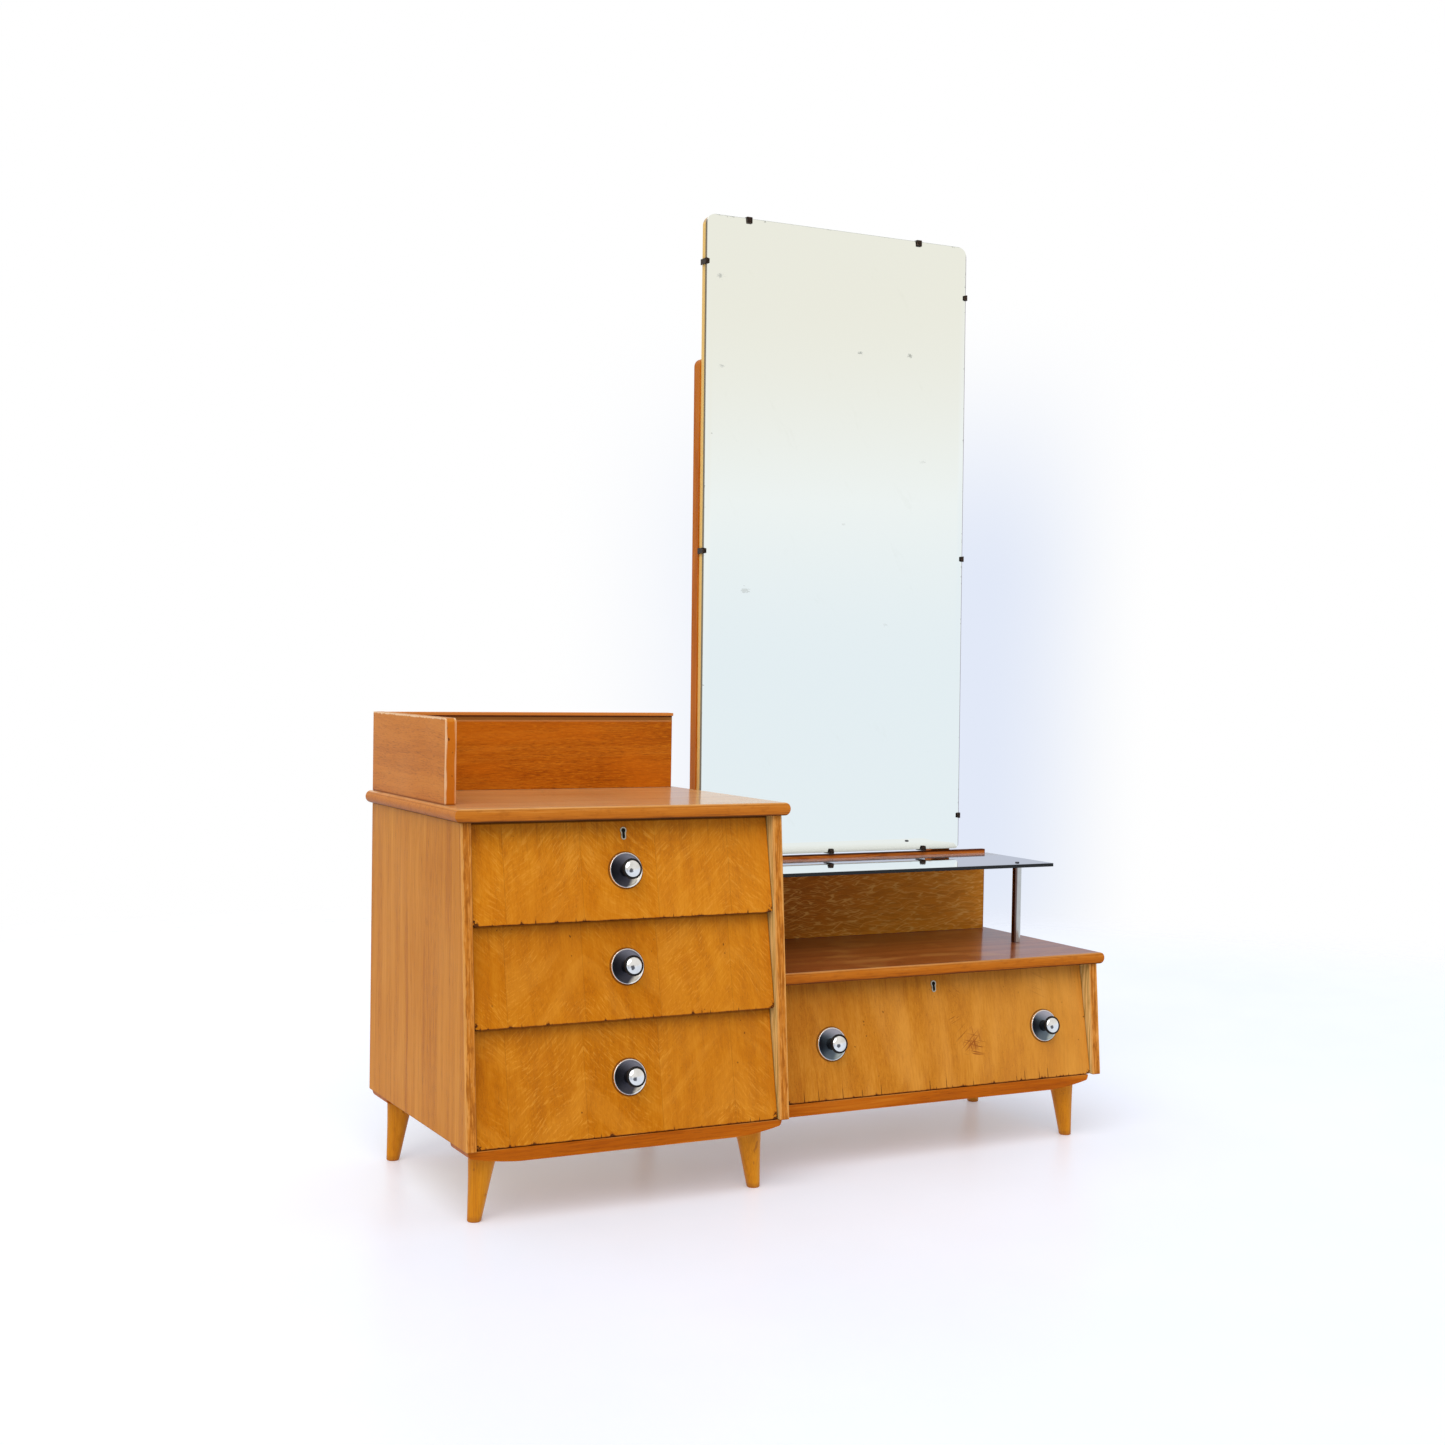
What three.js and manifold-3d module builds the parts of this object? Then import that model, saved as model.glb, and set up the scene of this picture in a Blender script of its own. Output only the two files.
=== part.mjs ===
// Vanity table with a tall mirror: a chest of three drawers with a low gallery on the left,
// a lower console with one wide drawer on the right, a glass shelf on rods over the console,
// and a frameless bevelled mirror on two posts behind it.
//
// Millimetres, +Z up. X runs from the chest's left side to the right, the back is the plane
// y = 0 and the front is towards -Y. The finished group is moved so that the origin is at the
// centre of the footprint, on the floor.
import * as THREE from "three";
import { mergeVertices } from "three/addons/utils/BufferGeometryUtils.js";
import Module from "manifold-3d";

const wasm = await Module();
wasm.setup();

// ---------------------------------------------------------------- driving dimensions

const GAP = 0.3; // between glued or resting faces
const BOARD = 16; // side and bottom panels
const FRONT = 18; // drawer fronts
const PLY = 6; // case backs
const BACK_INSET = 4; // case backs and rear rails, forward of the back plane
const BOTTOM_BACK = 12; // inner boards stop this far from the back plane
const BOTTOM_SETBACK = 27.5; // case bottoms, behind the side panels' lower front corner

const CASE_BOTTOM = 114;
const CHEST_WIDTH = 525;
const CHEST_TOP_UNDER = 581;
const CHEST_TOP_THICK = 20;
const CHEST_TOP_DEPTH = 429.5;
const CHEST_DEPTH_BOTTOM = 462.5; // side panels at their bottom edge
const SIDE_SLOPE = Math.tan(THREE.MathUtils.degToRad(5)); // the front edges lean back upwards
const OVERHANG = 11.5; // the top boards past the side panels

const CONSOLE_LEFT = 550;
const CONSOLE_RIGHT = 1189;
const CONSOLE_SIDE = 18; // hidden left panel
const CONSOLE_SPACER = { front: -320, back: -20, bottom: 130, top: 290 };
const CONSOLE_TOP_UNDER = 305;
const CONSOLE_TOP_THICK = 19;
const CONSOLE_TOP_DEPTH = 372.5;
const CONSOLE_DEPTH_BOTTOM = 383;

const TILT = THREE.MathUtils.degToRad(11); // drawer fronts lean back at the top
const FRONT_CLEARANCE = 1.5; // each side of a drawer front
const FRONT_CORNER = 5; // rounded bottom corners

const RAIL_HEIGHT = 20;
const RAIL_WIDTH = 75; // front to back
const RAIL_SETBACK = 6; // behind the side panels' lower front corner
const RAIL_NOSE = 6; // length of the small nose at a free end
const RAIL_NOSE_LIFT = 10; // height of the nose's underside over the rail's
const RAIL_SWEEP = 80; // length of the rising end
const RAIL_ENDS = { chest: [4, 515], console: [527, 1167] };
// Radius and height up a leg, which swells towards the stump that meets its rail.
const LEG_PROFILE = [
  [9.3, 0],
  [10.5, 1.5],
  [14.7, 43],
  [17.5, 68],
  [22, 103],
];
const LEG_SPLAY = 12.5; // sideways, over the leg's height
const LEG_FRONT_SETBACK = 54; // from the side panel's lower front corner
const LEG_REAR_SETBACKS = { chest: 27, console: 48 };
const LEG_INSET = 32.5;

const GALLERY_THICK = 17;
const GALLERY_TOP = 728.5;
const GALLERY_FRONT = 352;
const GALLERY_CORNER = 9;
const GALLERY_PANEL = { top: 716, right: 519, front: -39.5, back: -28.3 };
const GALLERY_BOARD = { right: 524.5, front: -28, back: -12 };
const GALLERY_CAPPING = { height: 5, front: -33, back: -9 };

const UPSTAND_FRONT = 34.3;
const UPSTAND_BACK = 24.3;
const UPSTAND_TOP = 474;
const UPSTAND_RIGHT = 1182.5;
const UPSTAND_STRIP = 7.5; // height of the edge strip, which stands 1 mm proud

const SHELF_TOP = 467;
const SHELF_THICK = 6;
const SHELF_FRONT = 240;
const SHELF_RIGHT = 1187;
const ROD_RADIUS = 8;
const ROD_NECK_RADIUS = 3;
const ROD_CAP_RADIUS = 4.2;
const ROD_CAP_HEIGHT = 1.8;
const ROD_Y = -213;
const ROD_XS = { left: 585, right: 1127 };

const MIRROR_LEAN = THREE.MathUtils.degToRad(0.6); // posts and mirror lean back
const MIRROR_LEFT = 576.5;
const MIRROR_RIGHT = 1118.5;
const MIRROR_BOTTOM = 477.5;
const MIRROR_TOP = 1595;
const MIRROR_THICK = 5;
const MIRROR_BEVEL = 15; // width of the ground border
const MIRROR_EDGE = 3.6; // thickness left at the rim
const MIRROR_BOARD_THICK = 12.5;
const MIRROR_CORNERS = { low: 8, high: 18 };
const POST_WIDTH = 40;
const POST_BACK = -1.5;
const POST_FRONT = -23.5;
const POST_PROUD = 1.5; // the left post, past the mirror's edge
const POST_INSET = 8.5; // the right post, inside the mirror's edge
const POST_TOP = 1348;
const POST_CORNER = 14;
const CLIP_WIDTH = 10;
const CLIP_THICK = 2;
const CLIP_REACH = 9; // down over the glass
const CLIP_XS = { left: 660, right: 1013 };

// Radius and height of the chrome rose, a shallow dish with a rounded rim.
const ROSE_PROFILE = [
  [26.4, 0.3],
  [27, 1],
  [26.3, 3.4],
  [24.6, 3.6],
  [22.5, 2.4],
  [9, 1.2],
];

// Radius and height of the knob: a waisted stem that flares to a ring round a domed end.
const KNOB_PROFILE = [
  [9.5, 1.5],
  [8.6, 6],
  [9.6, 13],
  [14.3, 22],
  [15.5, 23.5],
  [15.5, 25.5],
  [13.5, 26.8],
  [9.5, 28.8],
  [4.5, 30.1],
  [0, 30.4],
];

// The keyhole liner: a round head over a slot, with its rim, its depth in the front, how far
// it stands proud, and how far the head's centre is above the middle.
const KEYHOLE = { head: 5.3, slot: 4, length: 14.1, rim: 1.8, depth: 8, proud: 0.6, lift: 4.4 };

const SLIDE_GAP = 2; // under a drawer box, over the board that carries it
const BOX_SIDE = 12;
const BOX_INSET = 2; // behind each end of the drawer front
const BOX_BACK_GAP = 26; // from the back plane to a drawer box
const BOX_BOTTOM = 5;
const BOX_BOTTOM_RISE = 8;

// Each drawer: its front's bottom and top edge and the y of that bottom edge, the height of
// the board it runs on, the height of its box, and where its knobs and keyhole are (x and z).
const DRAWERS = [
  {
    name: "upper",
    front: { bottom: 431.5, top: 578, y: -429.5 },
    floor: 435,
    boxHeight: 128,
    knobs: [[262.5, 503.5]],
    lock: [263, 558],
  },
  {
    name: "middle",
    front: { bottom: 284, top: 428.5, y: -440.5 },
    floor: 287.5,
    boxHeight: 128,
    knobs: [[262.5, 360.5]],
  },
  {
    name: "lower",
    front: { bottom: 115, top: 280.5, y: -456 },
    floor: 130,
    boxHeight: 138,
    knobs: [[262.5, 197.5]],
  },
  {
    name: "wide",
    front: { bottom: 115, top: 302.5, y: -376.5 },
    floor: 130,
    boxHeight: 160,
    knobs: [[659, 202], [1082, 202]],
    lock: [865, 281],
  },
];

const DUST_BOARD = 10;
const DUST_BOARDS = {
  upper: { top: 435, front: -391 },
  lower: { top: 287.5, front: -402 },
};

// ---------------------------------------------------------------- materials

function finish(name, color, roughness, metalness = 0) {
  return new THREE.MeshStandardMaterial({ name, color, roughness, metalness });
}

const oakVeneer = finish("oak_veneer", 0xc8873a, 0.36);
const oakSide = finish("oak_side", 0xc48040, 0.38);
const oakTop = finish("oak_top", 0xc08a50, 0.25);
const amberOak = finish("amber_oak", 0xb86a1c, 0.34);
const orangeBeech = finish("orange_beech", 0xb4550a, 0.36);
const legBeech = finish("leg_beech", 0xcd8c28, 0.34);
const rawWood = finish("raw_wood", 0xd8b684, 0.7);
const plywood = finish("plywood", 0xe0b870, 0.6);
const mirrorSilver = finish("mirror", 0xe6eeee, 0.03, 1);
const blackGlass = finish("black_glass", 0x0a0b0d, 0.05);
const chrome = finish("chrome", 0xd8dadd, 0.12, 1);
const blackPlastic = finish("black_plastic", 0x0c0c0e, 0.25);
const bronze = finish("bronze", 0x4a3020, 0.4, 0.8);

// ---------------------------------------------------------------- geometry helpers

const vanity = new THREE.Group();

function addMesh(name, geometry, material, parent = vanity) {
  const mesh = new THREE.Mesh(geometry, material);
  mesh.name = name;
  parent.add(mesh);
  return mesh;
}

// A box given by its lowest and highest x, y and z.
function block(x, y, z) {
  const geometry = new THREE.BoxGeometry(x[1] - x[0], y[1] - y[0], z[1] - z[0]);
  return geometry.translate((x[0] + x[1]) / 2, (y[0] + y[1]) / 2, (z[0] + z[1]) / 2);
}

// A shape in the plane of its first two axes, pushed along the third.
function extrude(shape, depth, curveSegments = 6) {
  return new THREE.ExtrudeGeometry(shape, { depth, bevelEnabled: false, curveSegments });
}

// A side view drawn as (y, z), pushed from x = left to x = right.
function alongX(shape, left, right) {
  const turn = new THREE.Matrix4().makeBasis(
    new THREE.Vector3(0, 1, 0),
    new THREE.Vector3(0, 0, 1),
    new THREE.Vector3(1, 0, 0),
  );
  return extrude(shape, right - left).applyMatrix4(turn).translate(left, 0, 0);
}

// A front view drawn as (x, z), pushed from y = back forwards to y = front.
function alongY(shape, back, front, curveSegments = 6) {
  const geometry = extrude(shape, back - front, curveSegments);
  return geometry.rotateX(Math.PI / 2).translate(0, back, 0);
}

function outline(points) {
  return new THREE.Shape(points.map(([u, v]) => new THREE.Vector2(u, v)));
}

// A rectangle with its own radius at each corner, from the lower left one counterclockwise.
function roundedRectangle(x0, y0, x1, y1, radii) {
  const [lowLeft, lowRight, highRight, highLeft] = radii;
  const shape = new THREE.Shape();
  shape.moveTo(x0 + lowLeft, y0);
  shape.lineTo(x1 - lowRight, y0);
  if (lowRight) shape.absarc(x1 - lowRight, y0 + lowRight, lowRight, -Math.PI / 2, 0, false);
  shape.lineTo(x1, y1 - highRight);
  if (highRight) shape.absarc(x1 - highRight, y1 - highRight, highRight, 0, Math.PI / 2, false);
  shape.lineTo(x0 + highLeft, y1);
  if (highLeft) shape.absarc(x0 + highLeft, y1 - highLeft, highLeft, Math.PI / 2, Math.PI, false);
  shape.lineTo(x0, y0 + lowLeft);
  if (lowLeft) shape.absarc(x0 + lowLeft, y0 + lowLeft, lowLeft, Math.PI, Math.PI * 1.5, false);
  return shape;
}

function solidOf(geometry) {
  const bare = geometry.clone();
  bare.deleteAttribute("normal");
  bare.deleteAttribute("uv");
  const merged = mergeVertices(bare, 1e-4);
  return new wasm.Manifold(
    new wasm.Mesh({
      numProp: 3,
      vertProperties: merged.attributes.position.array,
      triVerts: new Uint32Array(merged.index.array),
    }),
  );
}

function geometryOf(solid) {
  const mesh = solid.getMesh();
  const geometry = new THREE.BufferGeometry();
  const positions = new Float32Array(mesh.vertProperties);
  geometry.setAttribute("position", new THREE.BufferAttribute(positions, 3));
  geometry.setIndex(new THREE.BufferAttribute(new Uint32Array(mesh.triVerts), 1));
  return geometry;
}

function joined(...geometries) {
  return geometryOf(geometries.map(solidOf).reduce((all, piece) => all.add(piece)));
}

function cut(body, ...cutters) {
  const solid = cutters.map(solidOf).reduce((left, cutter) => left.subtract(cutter), solidOf(body));
  return geometryOf(solid);
}

// A turned piece: a profile of (radius, height) points round the Z axis, closed on the axis.
function turned(profile, segments) {
  const points = profile.map(([radius, height]) => new THREE.Vector2(radius, height));
  return new THREE.LatheGeometry(points, segments).rotateX(Math.PI / 2);
}

// ---------------------------------------------------------------- case pieces

// A side panel: upright at the back, with its front edge leaning back towards the top.
function sidePanel(left, thickness, depthBottom, top) {
  const depthTop = depthBottom - (top - CASE_BOTTOM) * SIDE_SLOPE;
  const shape = outline([
    [0, CASE_BOTTOM],
    [0, top],
    [-depthTop, top],
    [-depthBottom, CASE_BOTTOM],
  ]);
  return alongX(shape, left, left + thickness);
}

// A top board with a half-round edge at each end that is free.
function topBoard(left, right, under, thickness, depth, roundLeft) {
  const flat = 0.01; // left between the two quarter rounds of an end
  const radius = thickness / 2 - flat;
  const leftRadius = roundLeft ? radius : 0;
  const radii = [leftRadius, radius, radius, leftRadius];
  return alongY(roundedRectangle(left, under, right, under + thickness, radii), 0, -depth);
}

// A cross rail under a case: flat below, sweeping up to a small nose at each free end.
function rail(left, right, sweepLeft, back) {
  const top = CASE_BOTTOM - GAP;
  const bottom = top - RAIL_HEIGHT;
  const noseBottom = bottom + RAIL_NOSE_LIFT;
  const halfway = RAIL_SWEEP / 2;
  const shape = new THREE.Shape();
  shape.moveTo(right, top);
  shape.lineTo(left, top);
  if (sweepLeft) {
    shape.quadraticCurveTo(left + 1, noseBottom, left + RAIL_NOSE, noseBottom);
    shape.quadraticCurveTo(left + halfway, bottom + 2, left + RAIL_SWEEP, bottom);
  } else {
    shape.lineTo(left, bottom);
  }
  shape.lineTo(right - RAIL_SWEEP, bottom);
  shape.quadraticCurveTo(right - halfway, bottom + 2, right - RAIL_NOSE, noseBottom);
  shape.quadraticCurveTo(right - 1, noseBottom, right, top);
  return alongY(shape, back, back - RAIL_WIDTH);
}

// A round tapered leg leaning sideways, cut off by the underside of its rail.
function leg(x, y, lean, railGeometry) {
  const height = LEG_PROFILE.at(-1)[1];
  const splay = new THREE.Matrix4().makeShear(0, 0, 0, 0, (lean * LEG_SPLAY) / height, 0);
  const stick = turned([[0, 0], ...LEG_PROFILE, [0, height]], 24);
  stick.applyMatrix4(splay).translate(x, y, 0);
  return cut(stick, railGeometry.clone().translate(0, 0, -GAP));
}

// The bottom, back and two cross rails of a case; the rails are returned for its legs.
function addCase(prefix, inner, depthBottom, under, sweepLeft) {
  const bottomDepth = [-depthBottom + BOTTOM_SETBACK, -BOTTOM_BACK];
  const bottom = block(inner, bottomDepth, [CASE_BOTTOM, CASE_BOTTOM + BOARD]);
  addMesh(`${prefix}_bottom`, bottom, rawWood);
  const back = block(inner, [-PLY - BACK_INSET, -BACK_INSET], [CASE_BOTTOM, under - GAP]);
  addMesh(`${prefix}_back`, back, rawWood);
  const [railLeft, railRight] = RAIL_ENDS[prefix];
  const rails = {
    front: rail(railLeft, railRight, sweepLeft, -depthBottom + RAIL_SETBACK + RAIL_WIDTH),
    rear: rail(railLeft, railRight, sweepLeft, -BACK_INSET),
  };
  addMesh(`${prefix}_rail_front`, rails.front, orangeBeech);
  addMesh(`${prefix}_rail_rear`, rails.rear, orangeBeech);
  return rails;
}

// ---------------------------------------------------------------- the chest

function addChest() {
  const inner = [BOARD + GAP, CHEST_WIDTH - BOARD - GAP];
  const sideTop = CHEST_TOP_UNDER - GAP;
  const sides = { left: 0, right: CHEST_WIDTH - BOARD };
  for (const [side, x] of Object.entries(sides)) {
    const panel = sidePanel(x, BOARD, CHEST_DEPTH_BOTTOM, sideTop);
    addMesh(`chest_side_${side}`, panel, oakSide);
  }
  const ends = [-OVERHANG, CHEST_WIDTH + OVERHANG];
  const top = topBoard(...ends, CHEST_TOP_UNDER, CHEST_TOP_THICK, CHEST_TOP_DEPTH, true);
  addMesh("chest_top", top, oakTop);
  for (const [name, board] of Object.entries(DUST_BOARDS)) {
    const geometry = block(inner, [board.front, -BOTTOM_BACK], [board.top - DUST_BOARD, board.top]);
    addMesh(`chest_dust_board_${name}`, geometry, rawWood);
  }
  const rails = addCase("chest", inner, CHEST_DEPTH_BOTTOM, CHEST_TOP_UNDER, true);
  const frontY = -CHEST_DEPTH_BOTTOM + LEG_FRONT_SETBACK;
  const rearY = -LEG_REAR_SETBACKS.chest;
  const rightX = CHEST_WIDTH - LEG_INSET;
  addMesh("leg_chest_front_left", leg(LEG_INSET, frontY, 1, rails.front), legBeech);
  addMesh("leg_chest_front_right", leg(rightX, frontY, -1, rails.front), legBeech);
  addMesh("leg_chest_rear_left", leg(LEG_INSET, rearY, 1, rails.rear), legBeech);
  addMesh("leg_chest_rear_right", leg(rightX, rearY, -1, rails.rear), legBeech);
}

// The low gallery on the chest: one side board, and a double board along the back.
function addGallery() {
  const floor = CHEST_TOP_UNDER + CHEST_TOP_THICK + GAP;
  const radii = [0, 0, 0, GALLERY_CORNER];
  const side = roundedRectangle(-GALLERY_FRONT, floor, -1, GALLERY_TOP, radii);
  addMesh("gallery_side", alongX(side, 0, GALLERY_THICK), amberOak);
  const left = GALLERY_THICK + GAP;
  const panelDepth = [GALLERY_PANEL.front, GALLERY_PANEL.back];
  const panel = block([left, GALLERY_PANEL.right], panelDepth, [floor, GALLERY_PANEL.top]);
  addMesh("gallery_panel", panel, amberOak);
  const width = [left, GALLERY_BOARD.right];
  const boardDepth = [GALLERY_BOARD.front, GALLERY_BOARD.back];
  const board = block(width, boardDepth, [floor, GALLERY_TOP - 1]);
  const cappingDepth = [GALLERY_CAPPING.front, GALLERY_CAPPING.back];
  const capping = block(width, cappingDepth, [GALLERY_TOP - GALLERY_CAPPING.height, GALLERY_TOP]);
  addMesh("gallery_rear_board", joined(board, capping), amberOak);
}

// ---------------------------------------------------------------- the console

function addConsole() {
  const under = CONSOLE_TOP_UNDER;
  const sideTop = under - GAP;
  const start = CHEST_WIDTH + GAP;
  const rightPanel = CONSOLE_RIGHT - BOARD;
  const inner = [CONSOLE_LEFT + CONSOLE_SIDE + GAP, rightPanel - GAP];
  const left = sidePanel(CONSOLE_LEFT, CONSOLE_SIDE, CONSOLE_DEPTH_BOTTOM, sideTop);
  addMesh("console_side_left", left, oakSide);
  const right = sidePanel(rightPanel, BOARD, CONSOLE_DEPTH_BOTTOM, sideTop);
  addMesh("console_side_right", right, oakSide);
  const spacerDepth = [CONSOLE_SPACER.front, CONSOLE_SPACER.back];
  const spacerHeight = [CONSOLE_SPACER.bottom, CONSOLE_SPACER.top];
  const spacer = block([start, CONSOLE_LEFT - GAP], spacerDepth, spacerHeight);
  addMesh("console_spacer", spacer, rawWood);
  const ends = [start, CONSOLE_RIGHT + OVERHANG];
  const top = topBoard(...ends, under, CONSOLE_TOP_THICK, CONSOLE_TOP_DEPTH, false);
  addMesh("console_top", top, oakTop);
  const rails = addCase("console", inner, CONSOLE_DEPTH_BOTTOM, under, false);
  const x = CONSOLE_RIGHT - LEG_INSET;
  const frontY = -CONSOLE_DEPTH_BOTTOM + LEG_FRONT_SETBACK;
  addMesh("leg_console_front", leg(x, frontY, -1, rails.front), legBeech);
  addMesh("leg_console_rear", leg(x, -LEG_REAR_SETBACKS.console, -1, rails.rear), legBeech);
}

// The low board behind the console top, with a small overhanging strip along its top edge.
function addUpstand() {
  const floor = CONSOLE_TOP_UNDER + CONSOLE_TOP_THICK + GAP;
  const width = [CHEST_WIDTH + GAP, UPSTAND_RIGHT];
  const board = block(width, [-UPSTAND_FRONT + 1, -UPSTAND_BACK], [floor, UPSTAND_TOP - 1]);
  const stripHeight = [UPSTAND_TOP - UPSTAND_STRIP, UPSTAND_TOP];
  const strip = block(width, [-UPSTAND_FRONT, -UPSTAND_BACK], stripHeight);
  addMesh("upstand_board", joined(board, strip), amberOak);
}

// ---------------------------------------------------------------- glass shelf and mirror

// A chrome rod: a post under the glass, a thin neck through its hole and a cap on top.
function shelfRod() {
  const foot = CONSOLE_TOP_UNDER + CONSOLE_TOP_THICK + GAP;
  const shoulder = SHELF_TOP - SHELF_THICK - GAP;
  return turned(
    [
      [0, foot],
      [ROD_RADIUS, foot],
      [ROD_RADIUS, shoulder],
      [ROD_NECK_RADIUS, shoulder],
      [ROD_NECK_RADIUS, SHELF_TOP + GAP],
      [ROD_CAP_RADIUS, SHELF_TOP + GAP],
      [ROD_CAP_RADIUS - 1, SHELF_TOP + ROD_CAP_HEIGHT],
      [0, SHELF_TOP + ROD_CAP_HEIGHT],
    ],
    24,
  );
}

function addShelf() {
  const width = [CHEST_WIDTH + GAP, SHELF_RIGHT];
  const depth = [-SHELF_FRONT, -UPSTAND_FRONT - GAP];
  const plate = block(width, depth, [SHELF_TOP - SHELF_THICK, SHELF_TOP]);
  const holeRadius = ROD_NECK_RADIUS + 0.5;
  const holes = [];
  for (const [side, x] of Object.entries(ROD_XS)) {
    const hole = new THREE.CylinderGeometry(holeRadius, holeRadius, 3 * SHELF_THICK, 16);
    holes.push(hole.rotateX(Math.PI / 2).translate(x, ROD_Y, SHELF_TOP));
    const rod = addMesh(`shelf_rod_${side}`, shelfRod(), chrome);
    rod.position.set(x, ROD_Y, 0);
  }
  addMesh("shelf_glass", cut(plate, ...holes), blackGlass);
}

// The mirror's outline, drawn in by an inset all round.
function mirrorShape(inset) {
  const radii = [MIRROR_CORNERS.low, MIRROR_CORNERS.low, MIRROR_CORNERS.high, MIRROR_CORNERS.high];
  const lowest = [MIRROR_LEFT + inset, MIRROR_BOTTOM + inset];
  const highest = [MIRROR_RIGHT - inset, MIRROR_TOP - inset];
  return roundedRectangle(...lowest, ...highest, radii);
}

// The bevelled pane: a flat back, a thin rim, and a border that slopes up to the flat front,
// with mitred corners. The sloping border is a hipped block, trimmed to the pane's outline.
function mirrorPane(back) {
  const plate = alongY(mirrorShape(0), back, back - MIRROR_THICK);
  const square = outline([
    [MIRROR_LEFT, MIRROR_BOTTOM],
    [MIRROR_RIGHT, MIRROR_BOTTOM],
    [MIRROR_RIGHT, MIRROR_TOP],
    [MIRROR_LEFT, MIRROR_TOP],
  ]);
  const hipped = new THREE.ExtrudeGeometry(square, {
    depth: 2 * MIRROR_EDGE,
    bevelEnabled: true,
    bevelSegments: 1,
    bevelSize: MIRROR_BEVEL,
    bevelOffset: -MIRROR_BEVEL,
    bevelThickness: MIRROR_THICK - MIRROR_EDGE,
  });
  hipped.rotateX(Math.PI / 2).translate(0, back + MIRROR_EDGE, 0);
  return geometryOf(solidOf(plate).intersect(solidOf(hipped)));
}

// A bronze clip: a tongue over the glass, and a strap back over the pane and its board.
function mirrorClip(x, glassFront) {
  const top = MIRROR_TOP + GAP;
  const front = glassFront - GAP;
  const strapBack = POST_FRONT - 2;
  const shape = outline([
    [front - CLIP_THICK, MIRROR_TOP - CLIP_REACH],
    [front, MIRROR_TOP - CLIP_REACH],
    [front, top],
    [strapBack, top],
    [strapBack, top + CLIP_THICK],
    [front - 1, top + CLIP_THICK],
    [front - CLIP_THICK, top + 0.5],
  ]);
  return alongX(shape, x - CLIP_WIDTH / 2, x + CLIP_WIDTH / 2);
}

// Posts, backing board, pane and clips, all drawn upright and then leant back about the
// line where the posts stand on the console top.
function addMirror() {
  const foot = CONSOLE_TOP_UNDER + CONSOLE_TOP_THICK + GAP;
  const lean = new THREE.Group();
  lean.position.z = foot;
  lean.rotation.x = -MIRROR_LEAN;
  const upright = new THREE.Group();
  upright.position.z = -foot;
  lean.add(upright);
  vanity.add(lean);

  const boardBack = POST_FRONT - GAP;
  const boardFront = boardBack - MIRROR_BOARD_THICK;
  const glassBack = boardFront - GAP;
  addMesh("mirror_board", alongY(mirrorShape(1), boardBack, boardFront), plywood, upright);
  addMesh("mirror_glass", mirrorPane(glassBack), mirrorSilver, upright);
  const posts = { left: MIRROR_LEFT - POST_PROUD, right: MIRROR_RIGHT - POST_INSET - POST_WIDTH };
  for (const [side, x] of Object.entries(posts)) {
    const radii = [0, 0, POST_CORNER, POST_CORNER];
    const shape = roundedRectangle(x, foot, x + POST_WIDTH, POST_TOP, radii);
    addMesh(`mirror_post_${side}`, alongY(shape, POST_BACK, POST_FRONT), orangeBeech, upright);
  }
  for (const [side, x] of Object.entries(CLIP_XS)) {
    addMesh(`mirror_clip_top_${side}`, mirrorClip(x, glassBack - MIRROR_THICK), bronze, upright);
  }
}

// ---------------------------------------------------------------- drawers and fittings

// The y of a drawer front's face at a height.
function faceY(drawer, z) {
  return drawer.front.y + (z - drawer.front.bottom) * Math.tan(TILT);
}

// A group on a drawer's face: its X runs along the drawer, Y up the slope, Z straight out.
function faceFrame(drawer, x, z) {
  const frame = new THREE.Group();
  frame.position.set(x, faceY(drawer, z), z);
  frame.rotation.x = Math.PI / 2 - TILT;
  return frame;
}

// A keyhole: a round head over a narrower slot with a round end.
function keyhole(headRadius, halfSlot, length) {
  const shoulder = Math.acos(halfSlot / headRadius);
  const shape = new THREE.Shape();
  shape.absarc(0, 0, headRadius, -shoulder, Math.PI + shoulder, false);
  shape.absarc(0, halfSlot - length, halfSlot, Math.PI, 2 * Math.PI, false);
  return shape;
}

function escutcheon() {
  const { head, slot, length, rim } = KEYHOLE;
  const ring = keyhole(head, slot, length);
  const hole = keyhole(head - rim, slot - rim, length - rim);
  ring.holes.push(new THREE.Path(hole.getPoints(5)));
  return extrude(ring, KEYHOLE.depth, 5).translate(0, KEYHOLE.lift, KEYHOLE.proud - KEYHOLE.depth);
}

// The pocket for it in a drawer front, open at the face.
function keyPocket() {
  const shape = keyhole(KEYHOLE.head + GAP, KEYHOLE.slot + GAP, KEYHOLE.length + GAP);
  const back = KEYHOLE.proud - KEYHOLE.depth - 1;
  return extrude(shape, 2 * KEYHOLE.depth, 5).translate(0, KEYHOLE.lift, back);
}

function rose() {
  const [, floor] = ROSE_PROFILE[0];
  const [, dish] = ROSE_PROFILE.at(-1);
  return turned([[0, floor], ...ROSE_PROFILE, [0, dish]], 32);
}

function knob() {
  const [, foot] = KNOB_PROFILE[0];
  return turned([[0, foot], ...KNOB_PROFILE], 28);
}

function drawerFront(drawer, left, right) {
  const { bottom, top, y } = drawer.front;
  const shape = roundedRectangle(left, 0, right, top - bottom, [FRONT_CORNER, FRONT_CORNER, 0, 0]);
  const slope = new THREE.Matrix4().makeShear(0, 0, 0, 0, 0, Math.tan(TILT));
  const front = alongY(shape, FRONT, 0).applyMatrix4(slope);
  front.translate(0, y, bottom);
  if (!drawer.lock) return front;
  const frame = faceFrame(drawer, ...drawer.lock);
  frame.updateMatrix();
  return cut(front, keyPocket().applyMatrix4(frame.matrix));
}

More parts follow.
